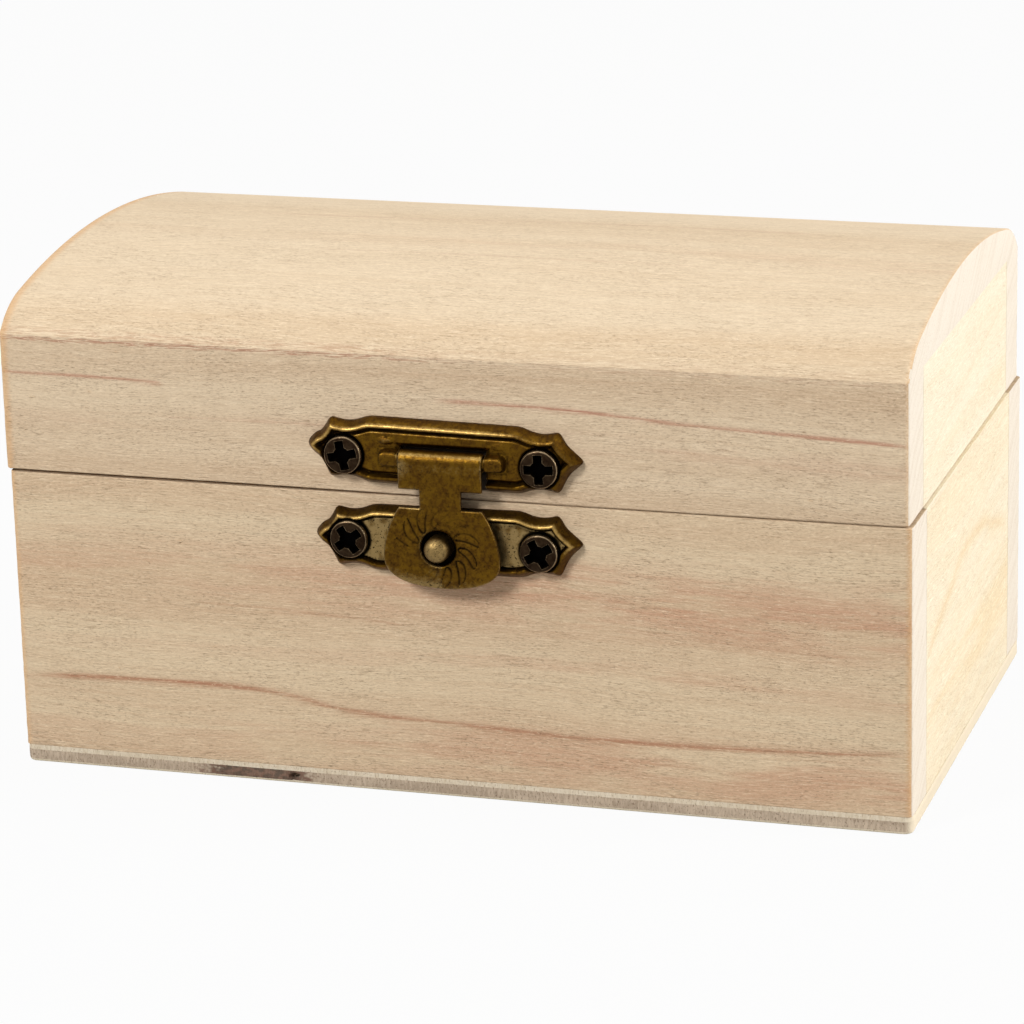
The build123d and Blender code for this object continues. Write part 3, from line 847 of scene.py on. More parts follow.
def makeLidTop():
    sizes = archSizes(*boxOf("lid_top_board"))
    mesh = growMesh("lidTop", archTree(sizes, materials["topFace"]), sizes)
    finishes = [materials["topFace"], materials["endGrain"]]
    endGrain(dressPiece("lid_top_board_wood", mesh, finishes, "lid", ["lid_top_board"]))


makeLidTop()
print("pieces: arched lid")


# Pressed sheet metal

def arcThrough(start, middle, end, steps):   # points of the arc through three, without its last
    (ax, ay), (bx, by), (cx, cy) = start, middle, end
    twice = 2 * (ax * (by - cy) + bx * (cy - ay) + cx * (ay - by))
    squares = [x * x + y * y for x, y in (start, middle, end)]
    centreX = (squares[0] * (by - cy) + squares[1] * (cy - ay) + squares[2] * (ay - by)) / twice
    centreY = (squares[0] * (cx - bx) + squares[1] * (ax - cx) + squares[2] * (bx - ax)) / twice
    radius = math.dist(start, (centreX, centreY))
    first = math.atan2(ay - centreY, ax - centreX)
    sweep = math.remainder(math.atan2(cy - centreY, cx - centreX) - first, 2 * math.pi)
    angles = [first + sweep * step / steps for step in range(steps)]
    return [(centreX + radius * math.cos(angle), centreY + radius * math.sin(angle)) for angle in angles]


def distanceInside(points, outline):   # distance to a closed outline, negative outside it
    nearest = np.full(len(points), 1e9)
    inside = np.zeros(len(points), bool)
    x, y = points[:, 0], points[:, 1]
    for (ax, ay), (bx, by) in zip(outline, np.roll(outline, -1, 0)):
        runX, runY = bx - ax, by - ay
        length = runX * runX + runY * runY
        if length < 1e-12:
            continue
        along = np.clip(((x - ax) * runX + (y - ay) * runY) / length, 0, 1)
        nearest = np.minimum(nearest, np.hypot(x - ax - along * runX, y - ay - along * runY))
        if runY:
            inside ^= ((ay > y) != (by > y)) & (x < ax + (y - ay) * runX / runY)
    return np.where(inside, nearest, -nearest)


def trimmedLattice(low, high, cell, edge):
    # square lattice whose points near the edge are moved onto it; returns plan points and triangles
    columns, rows = round((high[0] - low[0]) / cell), round((high[1] - low[1]) / cell)
    across = np.linspace(low[0], high[0], columns + 1)
    up = np.linspace(low[1], high[1], rows + 1)
    spots = np.stack(np.meshgrid(across, up, indexing="ij"), -1).reshape(-1, 2)
    depth = edge(spots)
    near = np.abs(depth) < 0.55 * cell
    nudge = cell * 0.01
    for _ in range(3):
        here = edge(spots[near])
        slopeX = (edge(spots[near] + [nudge, 0]) - here) / nudge
        slopeY = (edge(spots[near] + [0, nudge]) - here) / nudge
        steep = np.maximum(slopeX ** 2 + slopeY ** 2, 0.3)
        spots[near] -= np.column_stack([slopeX, slopeY]) * (here / steep)[:, None]
    depth = edge(spots)
    depth[near] = 0.0
    number = np.arange(len(spots)).reshape(columns + 1, rows + 1)
    a, b = number[:-1, :-1].ravel(), number[1:, :-1].ravel()
    c, d = number[1:, 1:].ravel(), number[:-1, 1:].ravel()
    triangles = np.concatenate([np.column_stack([a, b, c]), np.column_stack([a, c, d])])
    inner = (depth[triangles] >= 0).all(1)
    inner[inner] = edge(spots[triangles[inner]].mean(1)) > 0
    crossed = (depth[triangles] > 0).any(1) & (depth[triangles] < 0).any(1)
    kept, extra, cuts = list(map(tuple, triangles[inner])), [], {}

    def cutPoint(one, other):   # where the edge crosses between two lattice points
        key = (min(one, other), max(one, other))
        if key not in cuts:
            share = depth[key[0]] / (depth[key[0]] - depth[key[1]])
            extra.append(spots[key[0]] + (spots[key[1]] - spots[key[0]]) * share)
            cuts[key] = len(spots) + len(extra) - 1
        return cuts[key]

    for triangle in triangles[crossed]:
        ring = []
        for one, other in zip(triangle, np.roll(triangle, -1)):
            if depth[one] >= 0:
                ring.append(int(one))
            if depth[one] * depth[other] < 0:
                ring.append(cutPoint(int(one), int(other)))
        kept += [(ring[0], ring[turn], ring[turn + 1]) for turn in range(1, len(ring) - 1)]
    plan = np.concatenate([spots, np.array(extra).reshape(-1, 2)])
    kept = np.array(kept)
    used, renumbered = np.unique(kept, return_inverse=True)
    return plan[used], renumbered.reshape(kept.shape)


def solidSheet(triangles, upper, lower):   # closes the space between two skins of the same plan
    count = len(upper)
    faces = [tuple(map(int, triangle)) for triangle in triangles]
    faces += [tuple(map(int, triangle[::-1] + count)) for triangle in triangles]
    rims = {(int(a), int(b)) for t in triangles for a, b in zip(t, np.roll(t, -1))}
    faces += [(a, a + count, b + count, b) for a, b in rims if (b, a) not in rims]
    return np.concatenate([upper, lower]), faces


def paint(piece, **layers):   # stores wear and grime, with their painted highlights and shade, on the points of a piece
    for label, values in layers.items():
        layer = piece.data.attributes.new(label, "FLOAT", "POINT")
        padded = np.zeros(len(piece.data.vertices), np.float32)
        padded[:len(values)] = np.clip(values, 0, 1)
        layer.data.foreach_set("value", padded)


def eased(values, low, high):   # 0 below low, 1 above high
    share = np.clip((values - low) / (high - low), 0, 1)
    return share * share * (3 - 2 * share)


def onFront(plan, out, height):   # plate coordinates to the chest's front
    frontY = boxOf("base_front_panel")[0][1]
    return np.column_stack([plan[:, 0], frontY - out, plan[:, 1] + height])


plate = {
    "halfHeight": 3.27, "flatHalf": 7.7, "waist": (9.65, 2.68), "horn": (11.4, 3.1),
    "hollow": (12.05, 1.65), "noseSide": (12.8, 0.85), "nose": (13.85, 0.0), "noseRise": 0.25,
    "foot": 0.3, "crest": 1.3, "crestIn": 0.7, "crestHalf": 0.26, "floor": 0.5,
    "seatRadius": 1.9, "cell": 0.09, "soften": 30, "dent": 0.035, "blunting": 110, "bluntReach": 0.2,
}
panels = {
    # groove inside the crest, then the raised panel: depths from the edge, and heights
    # each stamping sits a little off its place: stretch, tilt in degrees and shift
    # seats are its screws: x, height and turn in degrees
    "upper": {
        "grooveIn": 1.08, "groove": 0.62, "panelIn": 1.42, "panel": 0.98,
        "stretch": 1.0, "tilt": -0.8, "shift": (-0.05, 0.36),
        "seats": [(-9.9, 0.0, 12), (9.55, -0.25, 2)], "slotted": True,
    },
    "lower": {
        "grooveIn": 0.98, "groove": 0.55, "panelIn": 1.16, "panel": 0.86,
        "stretch": 0.975, "tilt": 0.9, "shift": (0.1, 0.13),
        "seats": [(-9.6, -0.08, 35), (9.35, -0.25, 30)], "slotted": False,
    },
}
slot = {
    "halfWidth": 4.28, "top": 1.04, "lugTo": 6.35, "lugHalf": 0.9, "lugRound": 0.75, "lugHeight": 0.94,
    "dip": 0.3, "dipReach": 0.5,
    "bumpAt": (5.6, 1.62), "bumpReach": (0.85, 0.36), "bump": 0.22,
}


def tangentArc(start, towards, end, steps):
    # arc that ends at a point and runs on from the line towards its start
    runX, runY = start[0] - towards[0], start[1] - towards[1]
    chordX, chordY = end[0] - start[0], end[1] - start[1]
    side = runX * chordY - runY * chordX
    radius = math.hypot(runX, runY) * (chordX ** 2 + chordY ** 2) / (2 * side)
    turnX, turnY = -runY / math.hypot(runX, runY) * radius, runX / math.hypot(runX, runY) * radius
    middle = (start[0] + turnX, start[1] + turnY)
    sweep = 2 * math.asin(math.dist(start, end) / 2 / abs(radius)) * math.copysign(1, radius)
    first = math.atan2(-turnY, -turnX)
    angles = [first + sweep * step / steps for step in range(steps)]
    return [(middle[0] + abs(radius) * math.cos(angle), middle[1] + abs(radius) * math.sin(angle))
            for angle in angles]


def plateOutline(panel):
    flat = (plate["flatHalf"], plate["halfHeight"])
    quarter = [(x, flat[1]) for x in np.linspace(0, flat[0], 60)[:-1]]
    quarter += arcThrough(flat, plate["waist"], plate["horn"], 36)
    flank = arcThrough(plate["horn"], plate["hollow"], plate["noseSide"], 24)
    quarter += flank + tangentArc(plate["noseSide"], flank[-1], plate["nose"], 14)
    quarter = np.array(quarter + [plate["nose"]])
    lower = quarter[::-1][1:] * [1, -1]
    right = np.concatenate([quarter, lower])[::-1]
    left = right[::-1][1:-1] * [-1, 1]
    outline = np.concatenate([right, left])
    # horns, shoulders and points are rounded a little, and the left nose is worn rounder
    blunt = eased(-outline[:, 0], plate["hollow"][0] + 0.2, plate["noseSide"][0])
    for turn in range(plate["soften"] + plate["blunting"]):
        smooth = (np.roll(outline, 1, 0) + 2 * outline + np.roll(outline, -1, 0)) / 4
        share = 1 if turn < plate["soften"] else blunt[:, None]
        outline = outline + (smooth - outline) * share
    outline[:, 0] -= plate["bluntReach"] * blunt
    onNose = eased(np.abs(outline[:, 0]), plate["horn"][0], plate["noseSide"][0])
    outline[:, 1] += plate["noseRise"] * onNose
    outline[:, 0] *= panel["stretch"]
    turn = math.radians(panel["tilt"])
    turned = np.array([[math.cos(turn), math.sin(turn)], [-math.sin(turn), math.cos(turn)]])
    return outline @ turned + panel["shift"]


def rimHeight(depth, panel):   # section of the pressing: slope, crest, groove and raised panel
    share = 1 - np.minimum(depth / plate["crestIn"], 1)
    rise = plate["foot"] + (plate["crest"] - plate["foot"]) * (1 - share ** 1.5)
    pastCrest = eased(depth, plate["crestIn"] + plate["crestHalf"] / 2, panel["grooveIn"])
    onPanel = eased(depth, panel["grooveIn"], panel["panelIn"])
    drop = (plate["crest"] - panel["groove"]) * pastCrest
    return rise - drop + (panel["panel"] - panel["groove"]) * onPanel


def edgeDrop(depth, radius):   # how far a rounded edge falls away at a depth inside it
    return radius - np.sqrt(radius ** 2 - np.clip(radius - depth, 0, radius) ** 2)


def band(values, middle, half):   # 1 at the middle, fading out within about twice the half width
    return np.exp(-((values - middle) / half) ** 2)


def plateSkin(plan, outline, panel):   # height, and the painted layers of wear, highlight, grime and shade, of a plate at its plan points
    depth = distanceInside(plan, outline)
    out = rimHeight(np.maximum(depth, 0), panel)
    dents = np.array([jitter(x, y, 3.0, 1.3) for x, y in plan])
    out += plate["dent"] * dents * eased(depth, 0.1, 0.6)
    # the upper half gets a stronger painted highlight, as its rims face the light from above
    above = eased(plan[:, 1], -0.6, 0.6)
    # rubbed crest, with a painted highlight along it
    wear = band(depth, plate["crestIn"] - 0.06, 0.28) * (0.2 + 0.4 * above)
    # a thin painted highlight line where the groove meets the raised panel
    wear += band(depth, panel["panelIn"] - 0.06, 0.11) * (0.1 + 0.3 * above)
    # painted shade, with dirt, in the groove inside the crest
    grime = 0.8 * band(depth, panel["grooveIn"] - 0.03, 0.11)
    for seatX, seatY, _ in panel["seats"]:
        away = np.hypot(plan[:, 0] - seatX, plan[:, 1] - seatY)
        inSeat = 1 - eased(away, plate["seatRadius"] - 0.02, plate["seatRadius"] + 0.25)
        out = out + (np.minimum(out, plate["floor"]) - out) * inSeat
        grime += 0.8 * (1 - eased(away, plate["seatRadius"] + 0.1, plate["seatRadius"] + 0.45))
        wear *= 1 - inSeat
    return {"depth": depth, "out": out, "wear": wear, "grime": grime, "pale": 0.3 * wear}


def makePlate(name, node, body, panel, carve):
    height = middleOf(node)[2]
    outline = plateOutline(panel)

    def edge(spots):
        inside = distanceInside(spots, outline)
        return np.minimum(inside, -slotDepth(spots)) if panel["slotted"] else inside

    reach = (plate["nose"][0] + 0.3, plate["halfHeight"] + 0.8)
    plan, triangles = trimmedLattice((-reach[0], -reach[1]), reach, plate["cell"], edge)
    skin = carve(plan, plateSkin(plan, outline, panel), panel)
    upper, lower = onFront(plan, skin["out"], height), onFront(plan, skin["out"] * 0, height)
    points, faces = solidSheet(triangles, upper, lower)
    piece = addPiece(name, points, faces, [materials["bronze"]], body, [node], 50)
    paint(piece, wear=skin["wear"], grime=skin["grime"], pale=skin["pale"])


def slotDepth(spots):   # positive inside the open slot of the upper plate
    return np.minimum(slot["halfWidth"] - np.abs(spots[:, 0]), slot["top"] - spots[:, 1])


def carveUpper(plan, skin, panel):   # lugs that hold the tongue's pin, and the slot's edge, with painted highlights on the upper sides of the lugs and bump
    fromSlot = np.maximum(-slotDepth(plan), 0)
    x, y = np.abs(plan[:, 0]), plan[:, 1]
    corner = slot["lugRound"]
    pastX = np.maximum(x - slot["lugTo"] + corner, 0)
    pastY = np.maximum(np.abs(y) - slot["lugHalf"] + corner, 0)
    within = corner - np.hypot(pastX, pastY)
    across = np.clip(1 - (y / slot["lugHalf"]) ** 2, 0, 1) ** 0.5
    lug = eased(within, -0.02, 0.3) * (0.6 + 0.4 * across)
    spreadX = (x - slot["bumpAt"][0]) / slot["bumpReach"][0]
    spreadY = (y - slot["bumpAt"][1]) / slot["bumpReach"][1]
    bump = np.clip(1 - spreadX ** 2 - spreadY ** 2, 0, 1) ** 0.6 * np.where(plan[:, 0] < 0, 1, 0.3)
    dip = slot["dip"] * (1 - eased(fromSlot, 0, slot["dipReach"])) * (y > 0.6)   # lets the tongue swing up
    skin["out"] += slot["lugHeight"] * lug + slot["bump"] * bump - dip
    foot = band(np.abs(y), slot["lugHalf"] + 0.08, 0.1) * (x < slot["lugTo"])
    foot += band(x, slot["lugTo"] + 0.05, 0.1) * (np.abs(y) < slot["lugHalf"])
    # weaker painted highlight towards the right
    skin["wear"] *= 1 - 0.4 * eased(plan[:, 0], 4.0, 9.0)
    # painted highlights on the upper sides of the lugs and the bump
    skin["wear"] += 0.3 * lug * eased(y, 0.1, 0.5) + 0.4 * bump * (y > slot["bumpAt"][1])
    skin["wear"] += 0.5 * (fromSlot < 0.1)
    skin["pale"] += 0.2 * (lug > 0.05) + 0.35 * bump
    skin["grime"] = skin["grime"] * (lug < 0.05) + 0.5 * foot * (lug < 0.3)
    skin["out"] -= 0.06 * (fromSlot < 0.05)
    return skin


def carveLower(plan, skin, panel):   # pale panels, dark blots on their margins, and painted shade where the tongue keeps the light out
    inside = eased(skin["depth"], panel["panelIn"] - 0.12, panel["panelIn"])
    # painted shade on the plate under the tongue, round the knob
    under = 1 - eased(np.hypot(plan[:, 0] - tongue["holeAt"][0], plan[:, 1]), 2.2, 3.2)
    shadedSlope = 1 - eased(skin["depth"], plate["crestIn"] - 0.3, plate["crestIn"])
    blots = np.array([0.6 * jitter(x, y, 4.0, 0.7) for x, y in plan])
    skin["pale"] += (0.85 - np.clip(blots, 0, 1)) * inside
    margin = 1 - eased(skin["depth"], panel["panelIn"], panel["panelIn"] + 0.45)
    skin["grime"] += 0.5 * inside * margin * (blots > 0)
    # painted shade under the tongue, and on the top rim's outer slope that the tongue shades
    skin["grime"] += under + 0.45 * shadedSlope * eased(plan[:, 1], 0.0, 1.5)
    return skin


tongue = {
    "halfWidth": 4.13, "shoulder": 2.7, "neck": 2.05, "neckTo": 4.5, "fanTop": 4.1,
    "belly": (5.25, 6.8), "wide": (5.78, 9.3), "corner": (6.0, 11.6), "pull": 3.2, "end": 12.4,
    "sheet": 0.42, "rollOut": 0.96, "rollTurn": 286, "cell": 0.09, "bevel": 0.13,
    "holeAt": (-0.3, -8.4), "hole": 1.75, "lip": 0.28,
    "petals": 11, "petalFrom": 1.95, "petalTo": 4.1, "petalHalf": 0.6, "petalLean": 0.42, "groove": 0.11,
    "grooveDepth": 0.08, "pivot": 1.3,
    "deepPetals": [(1.5, -0.6, 0.75), (1.0, 2.5, 0.7), (0.5, 0.3, 0.35)],   # strength, angle and reach
}


makePlate("clasp_upper_plate_pressed", "clasp_upper_plate", "lid", panels["upper"], carveUpper)
makePlate("clasp_lower_plate_pressed", "clasp_lower_plate", "base", panels["lower"], carveLower)
print("pieces: hasp plates")


def tongueOutline():
    roll = tongue["rollOut"] * math.radians(tongue["rollTurn"])
    half = [(tongue["halfWidth"], roll), (tongue["halfWidth"], -tongue["shoulder"]),
            (tongue["neck"], -tongue["shoulder"]), (tongue["neck"], -tongue["neckTo"])]
    fanTop = (tongue["fanTop"], -tongue["neckTo"])
    wide = (tongue["wide"][0], -tongue["wide"][1])
    half += arcThrough(fanTop, (tongue["belly"][0], -tongue["belly"][1]), wide, 16)
    corner = (tongue["corner"][0], -tongue["corner"][1])
    pulls = [wide, corner, (tongue["pull"], -tongue["end"]), (0, -tongue["end"])]
    for t in np.linspace(0, 1, 24):
        shares = ((1 - t) ** 3, 3 * t * (1 - t) ** 2, 3 * t * t * (1 - t), t ** 3)
        half.append(tuple(sum(share * pull[axis] for share, pull in zip(shares, pulls)) for axis in (0, 1)))
    half = np.array(half[::-1])
    return np.concatenate([half, half[::-1][:-1] * [-1, 1]])


def petalGroove(plan):   # pressed outlines of the petals round the hole, 0 to 1
    away = plan - np.array(tongue["holeAt"])
    radius, angle = np.hypot(*away.T), np.arctan2(away[:, 1], away[:, 0])
    waver = np.array([jitter(x, y, 2.0, 1.7) for x, y in plan])
    share = (radius + 0.25 * waver - tongue["petalFrom"]) / (tongue["petalTo"] - tongue["petalFrom"])
    pitch = 2 * math.pi / tongue["petals"]
    curled = angle + tongue["petalLean"] * np.clip(share, 0, 1) ** 1.5
    off = (curled / pitch - np.round(curled / pitch)) * pitch * radius
    half = tongue["petalHalf"] * np.clip(1 - (2 * share - 1.05) ** 2, 0, 1) ** 0.5 * (0.55 + 0.45 * share)
    line = band(np.abs(off), half, tongue["groove"]) * ((share > 0.0) & (share < 1.0))
    strong = 0.2 + sum(force * band(angle, middle, half) for force, middle, half in tongue["deepPetals"])
    fade = np.array([0.85 + 0.6 * jitter(x, y, 9.0, 1.9) for x, y in plan])
    return line * np.clip(fade * strong, 0, 1)


def makeTongue():
    outline = tongueOutline()
    hole = np.array(tongue["holeAt"])

    def edge(spots):
        fromHole = np.hypot(*(spots - hole).T) - tongue["hole"]
        return np.minimum(distanceInside(spots, outline), fromHole)

    reach = tongue["wide"][0] + 0.3
    top = tongue["rollOut"] * math.radians(tongue["rollTurn"])
    low, high = (-reach, -tongue["end"] - 0.2), (reach, top + 0.2)
    plan, triangles = trimmedLattice(low, high, tongue["cell"], edge)
    depth = np.maximum(edge(plan), 0)
    drop = edgeDrop(depth, tongue["bevel"])
    grooves = petalGroove(plan) * (plan[:, 1] < -tongue["neckTo"])
    fromHole = np.hypot(*(plan - hole).T) - tongue["hole"]
    lip = band(fromHole, tongue["lip"], 0.16)
    front = tongue["rollOut"] - drop - grooves * tongue["grooveDepth"] + 0.04 * lip
    front += np.array([0.02 * jitter(x, y, 5.0, 1.8) for x, y in plan])
    back = np.full(len(plan), tongue["rollOut"] - tongue["sheet"])

    def rolled(distance):   # bends the part above the pin's height round it
        turn = np.maximum(plan[:, 1], 0) / tongue["rollOut"]
        out = np.where(plan[:, 1] > 0, distance * np.cos(turn), distance) + tongue["pivot"]
        up = np.where(plan[:, 1] > 0, distance * np.sin(turn), plan[:, 1])
        return np.column_stack([plan[:, 0], up]), out

    height = middleOf("clasp_pin")[2]
    points, faces = solidSheet(triangles, onFront(*rolled(front), height), onFront(*rolled(back), height))
    piece = addPiece("clasp_tongue_pressed", points, faces, [materials["bronze"]], "tongue",
                     ["clasp_tongue"], 50)
    rim = 1 - eased(depth, 0.03, 0.17)
    crown = band(plan[:, 1], 0.75, 0.3)
    flap = (1 - eased(plan[:, 1], -0.3, 0.5)) * eased(plan[:, 1], -2.2, -0.6)
    belly = 0.4 * band(plan[:, 1], -tongue["end"], 1.6) + 0.3 * band(depth, 0.0, 1.0) * (plan[:, 0] < 0)
    # wear: rubbed edges, and a painted highlight on the roll's upper front; grime: petal grooves, the hole's
    # lip, and painted shade with dirt where the roll turns back towards the wood
    paint(piece, wear=0.45 * rim + 0.5 * crown, pale=0.3 * flap + belly + 0.4 * rim,
          grime=grooves + 0.3 * lip + 0.5 * (plan[:, 1] > 1.7))


makeTongue()
print("pieces: tongue")


# Screws, knob and pins

clampScrew = {
    "Radius": 1.88, "Height": 1.1, "Ease": 0.22, "Crown": 0.2, "Reach": 1.4, "Half": 0.4, "Core": 0.8,
    "Depth": 0.75, "Shank Radius": 0.8, "Shank Length": 5.6, "Facing": 1.0,
}
screwSpots = {
    "lid": {"node": "lid_clasp_screws", "plate": "clasp_upper_plate", "panel": "upper"},
    "base": {"node": "base_clasp_screws", "plate": "clasp_lower_plate", "panel": "lower"},
}


def screwTree(sizes, finish):   # cross-recess screws, one on each point of the seed mesh
    graph, given = sizedTree("crossScrews", sizes)
    counts = {"Vertices": 128, "Side Segments": 6, "Fill Segments": 32}
    ends = {"fill_type": "TRIANGLE_FAN"}
    head = graph.add("GeometryNodeMeshCylinder", ends,
                     {**counts, "Radius": given["Radius"], "Depth": given["Height"]})
    x = graph.add("ShaderNodeSeparateXYZ", None, {0: graph.add("GeometryNodeInputPosition")})
    y, z = x.sibling("Y"), x.sibling("Z")
    onTop = z.math("GREATER_THAN", z, given["Height"] * 0.495)
    away = (x * x + y * y) ** 0.5
    wide, narrow = x.math("MAXIMUM", abs(x), abs(y)), x.math("MINIMUM", abs(x), abs(y))
    arm = x.math("MINIMUM", given["Half"] - narrow, given["Reach"] - wide)
    inCross = x.math("MAXIMUM", arm, given["Core"] - away)
    recess = inCross.fade(-0.03, 0.08) * onTop
    lipNear = inCross.fade(-0.16, -0.05) * (1 - inCross.fade(-0.05, 0.02)) * onTop
    rimNear = away.fade(given["Radius"] - given["Ease"] * 0.9, given["Radius"] - given["Ease"] * 0.35)
    rimNear = rimNear * (1 - (given["Height"] / 2 - z).fade(given["Ease"], given["Ease"] * 2.5))
    aboveSeat = z.math("GREATER_THAN", z, given["Height"] * -0.2)
    darkening = recess + 0.75 * (1 - aboveSeat)
    # wear: rubbed rim, and painted glints on the lips of the cross recess
    layers = {"wear": rimNear * 0.75 + lipNear * 0.5, "grime": darkening.math("MINIMUM", darkening, 1.0)}
    for label, field in layers.items():
        head = graph.add("GeometryNodeStoreNamedAttribute", {"data_type": "FLOAT", "domain": "POINT"},
                         {"Geometry": head, "Name": label, "Value": field})
    bite = (away - given["Radius"] + given["Ease"]) / given["Ease"]
    bite = bite.math("MAXIMUM", bite, 0.0)
    fall = given["Ease"] * (1 - (1.0001 - bite * bite) ** 0.5)
    share = away / given["Radius"]
    face = given["Height"] / 2 - given["Crown"] * share * share - fall - recess * given["Depth"]
    straight = 1 - (given["Ease"] + given["Crown"]) / given["Height"]
    side = (z + given["Height"] / 2) * straight - given["Height"] / 2
    height = side + (face - side) * onTop + given["Height"] / 2
    spot = graph.vector(x, y, height)
    head = graph.add("GeometryNodeSetPosition", None, {"Geometry": head, "Position": spot})
    shank = graph.add("GeometryNodeMeshCylinder", ends,
                      {"Vertices": 32, "Radius": given["Shank Radius"], "Depth": given["Shank Length"]})
    drop = graph.vector(0.0, 0.0, given["Shank Length"] * -0.5 + 0.1)
    shank = graph.add("GeometryNodeTransform", None, {"Geometry": shank, "Translation": drop})
    screw = graph.add("GeometryNodeJoinGeometry", None, {"Geometry": [head, shank]})
    turn = graph.add("GeometryNodeInputNamedAttribute", {"data_type": "FLOAT"}, {"Name": "turn"})
    facing = given["Facing"]
    euler = graph.vector(facing * (math.pi / 2), facing * turn * -1, 0.0)
    rotation = graph.add("FunctionNodeEulerToRotation", None, {0: euler})
    places = {"Points": given["Geometry"], "Instance": screw, "Rotation": rotation, "Scale": (mm, mm, mm)}
    return closeTree(graph, graph.add("GeometryNodeInstanceOnPoints", None, places), finish)


def spotMesh(name, places):   # seed points with their turn; places are x, y, z, and the turn in degrees
    spots = bpy.data.meshes.new(name)
    spots.from_pydata([[part * mm for part in place[:3]] for place in places], [], [])
    layer = spots.attributes.new("turn", "FLOAT", "POINT")
    layer.data.foreach_set("value", [math.radians(place[3]) for place in places])
    return spots


def growScrews(name, places, sizes, finish, body, nodes):
    mesh = growMesh(name, screwTree(sizes, finish), sizes, spotMesh(name + "Spots", places))
    dressPiece(name, mesh, [finish], body, nodes, 38)


for bodyName, given in screwSpots.items():
    seatY = boxOf("base_front_panel")[0][1] - plate["floor"]
    middle = middleOf(given["plate"])[2]
    seats = [(x, seatY, middle + rise, turn) for x, rise, turn in panels[given["panel"]]["seats"]]
    growScrews(given["node"] + "_crossed", seats, clampScrew, materials["darkBronze"], bodyName,
               [given["node"]])
print("pieces: clasp screws")


def lathe(name, profile, spot, axis, finish, body, nodes, layers=None, turns=48):
    # turns a profile of (radius, distance along the axis) round a line through the spot
    axis = Vector(axis)
    aside = Vector((0, 0, 1)) if axis.z == 0 else Vector((1, 0, 0))
    across = axis.cross(aside)
    points, values = [], []
    for row, (radius, along) in enumerate(profile):
        for turn in range(turns):
            angle = 2 * math.pi * turn / turns
            out = aside * math.cos(angle) + across * math.sin(angle)
            points.append(tuple(Vector(spot) + axis * along + out * radius))
            values.append([layer[row] for layer in (layers or {}).values()])
    faces = loftFaces(len(profile), turns)
    piece = addPiece(name, points, faces, [finish], body, nodes, 40)
    if layers:
        paint(piece, **dict(zip(layers, np.array(values).T)))


knob = {
    "radius": 1.25, "dome": 1.0, "fullness": 2.2, "rivet": 0.8, "steps": 12,
    "tip": 0.98,         # how far round the dome goes before it is closed flat
    "dirtTo": 1.3,       # dark below that height
}


def makeKnob():
    low, high = boxOf("clasp_knob")
    middle = middleOf("clasp_knob")
    spot = (middle[0], boxOf("base_front_panel")[0][1], middle[2])
    reach = spot[1] - low[1]
    profile = [(knob["rivet"], spot[1] - high[1]), (knob["rivet"], plate["floor"])]
    halfway = (plate["floor"] + reach - knob["dome"]) / 2
    profile += [(knob["radius"], plate["floor"]), (knob["radius"], halfway)]
    for step in range(knob["steps"] + 1):
        share = knob["tip"] * math.sin(math.pi / 2 * step / knob["steps"])
        radius = knob["radius"] * (1 - share ** knob["fullness"]) ** (1 / knob["fullness"])
        profile.append((radius, reach - knob["dome"] * (1 - share / knob["tip"])))
    rounded = [max(0.0, 1 - (reach - along) / knob["dome"]) for _, along in profile]
    layers = {
        "wear": [0.15 + 0.2 * share for share in rounded],
        "pale": [0.5 + 0.25 * share for share in rounded],
        "grime": [0.9 if along < knob["dirtTo"] else 0.0 for _, along in profile],
    }
    lathe("clasp_knob_turned", profile, spot, (0, -1, 0), materials["bronze"], "base", ["clasp_knob"],
          layers, 64)


pins = {
    "clasp_pin": {"radius": 0.5, "domed": 0.12, "body": "lid"},
    "left_hinge_pin": {"radius": 0.6, "domed": 0.2, "body": "base"},
    "right_hinge_pin": {"radius": 0.6, "domed": 0.2, "body": "base"},
}


def makePin(node, radius, domed, body):   # a wire pin along the chest, with domed ends
    low, high = boxOf(node)
    half = (high[0] - low[0]) / 2
    turns = [math.radians(turn) for turn in (0, 20, 40, 60, 80)]
    ends = [(radius * math.cos(turn), half - domed * (1 - math.sin(turn))) for turn in turns]
    profile = [(out, -along) for out, along in ends[::-1]] + ends
    layers = {"wear": [0.5 if out < radius else 0.1 for out, _ in profile]}
    lathe(node + "_wire", profile, tuple(middleOf(node)), (1, 0, 0), materials["bronze"], body, [node],
          layers, 32)


makeKnob()
for pinName, pin in pins.items():
    makePin(pinName, **pin)
print("pieces: knob and pins")


# Hinges

hinge = {
    "sheet": 0.56, "height": 7.0, "corner": 0.8, "ease": 0.12, "cell": 0.12,
    "pinOut": 1.45, "roll": 0.96, "rollTurn": 292, "knuckles": 3, "gap": 0.05,
    "screwIn": 5.0, "screwRise": 4.3,
}
leafScrew = {
    "Radius": 1.42, "Height": 0.55, "Ease": 0.12, "Crown": 0.22, "Reach": 0.86, "Half": 0.2, "Core": 0.36,
    "Depth": 0.35, "Shank Radius": 0.5, "Shank Length": 4.0, "Facing": -1.0,
}


def leafPath(distance, offset):
    # where a point of the sheet comes to lie: out of the wood, and away from the pin
    # the distance runs from the pin's height up the leaf, and below 0 round the pin
    radius = hinge["roll"] + offset
    turn = np.maximum(-distance, 0) / hinge["roll"]
    blend = eased(distance, 0.0, 1.5)
    flatOut = hinge["sheet"] / 2 - offset
    rollOut = hinge["pinOut"] - radius * np.cos(turn)
    out = np.where(distance > 0, rollOut + (flatOut - rollOut) * blend, rollOut)
    return out, np.where(distance > 0, distance, -radius * np.sin(turn))


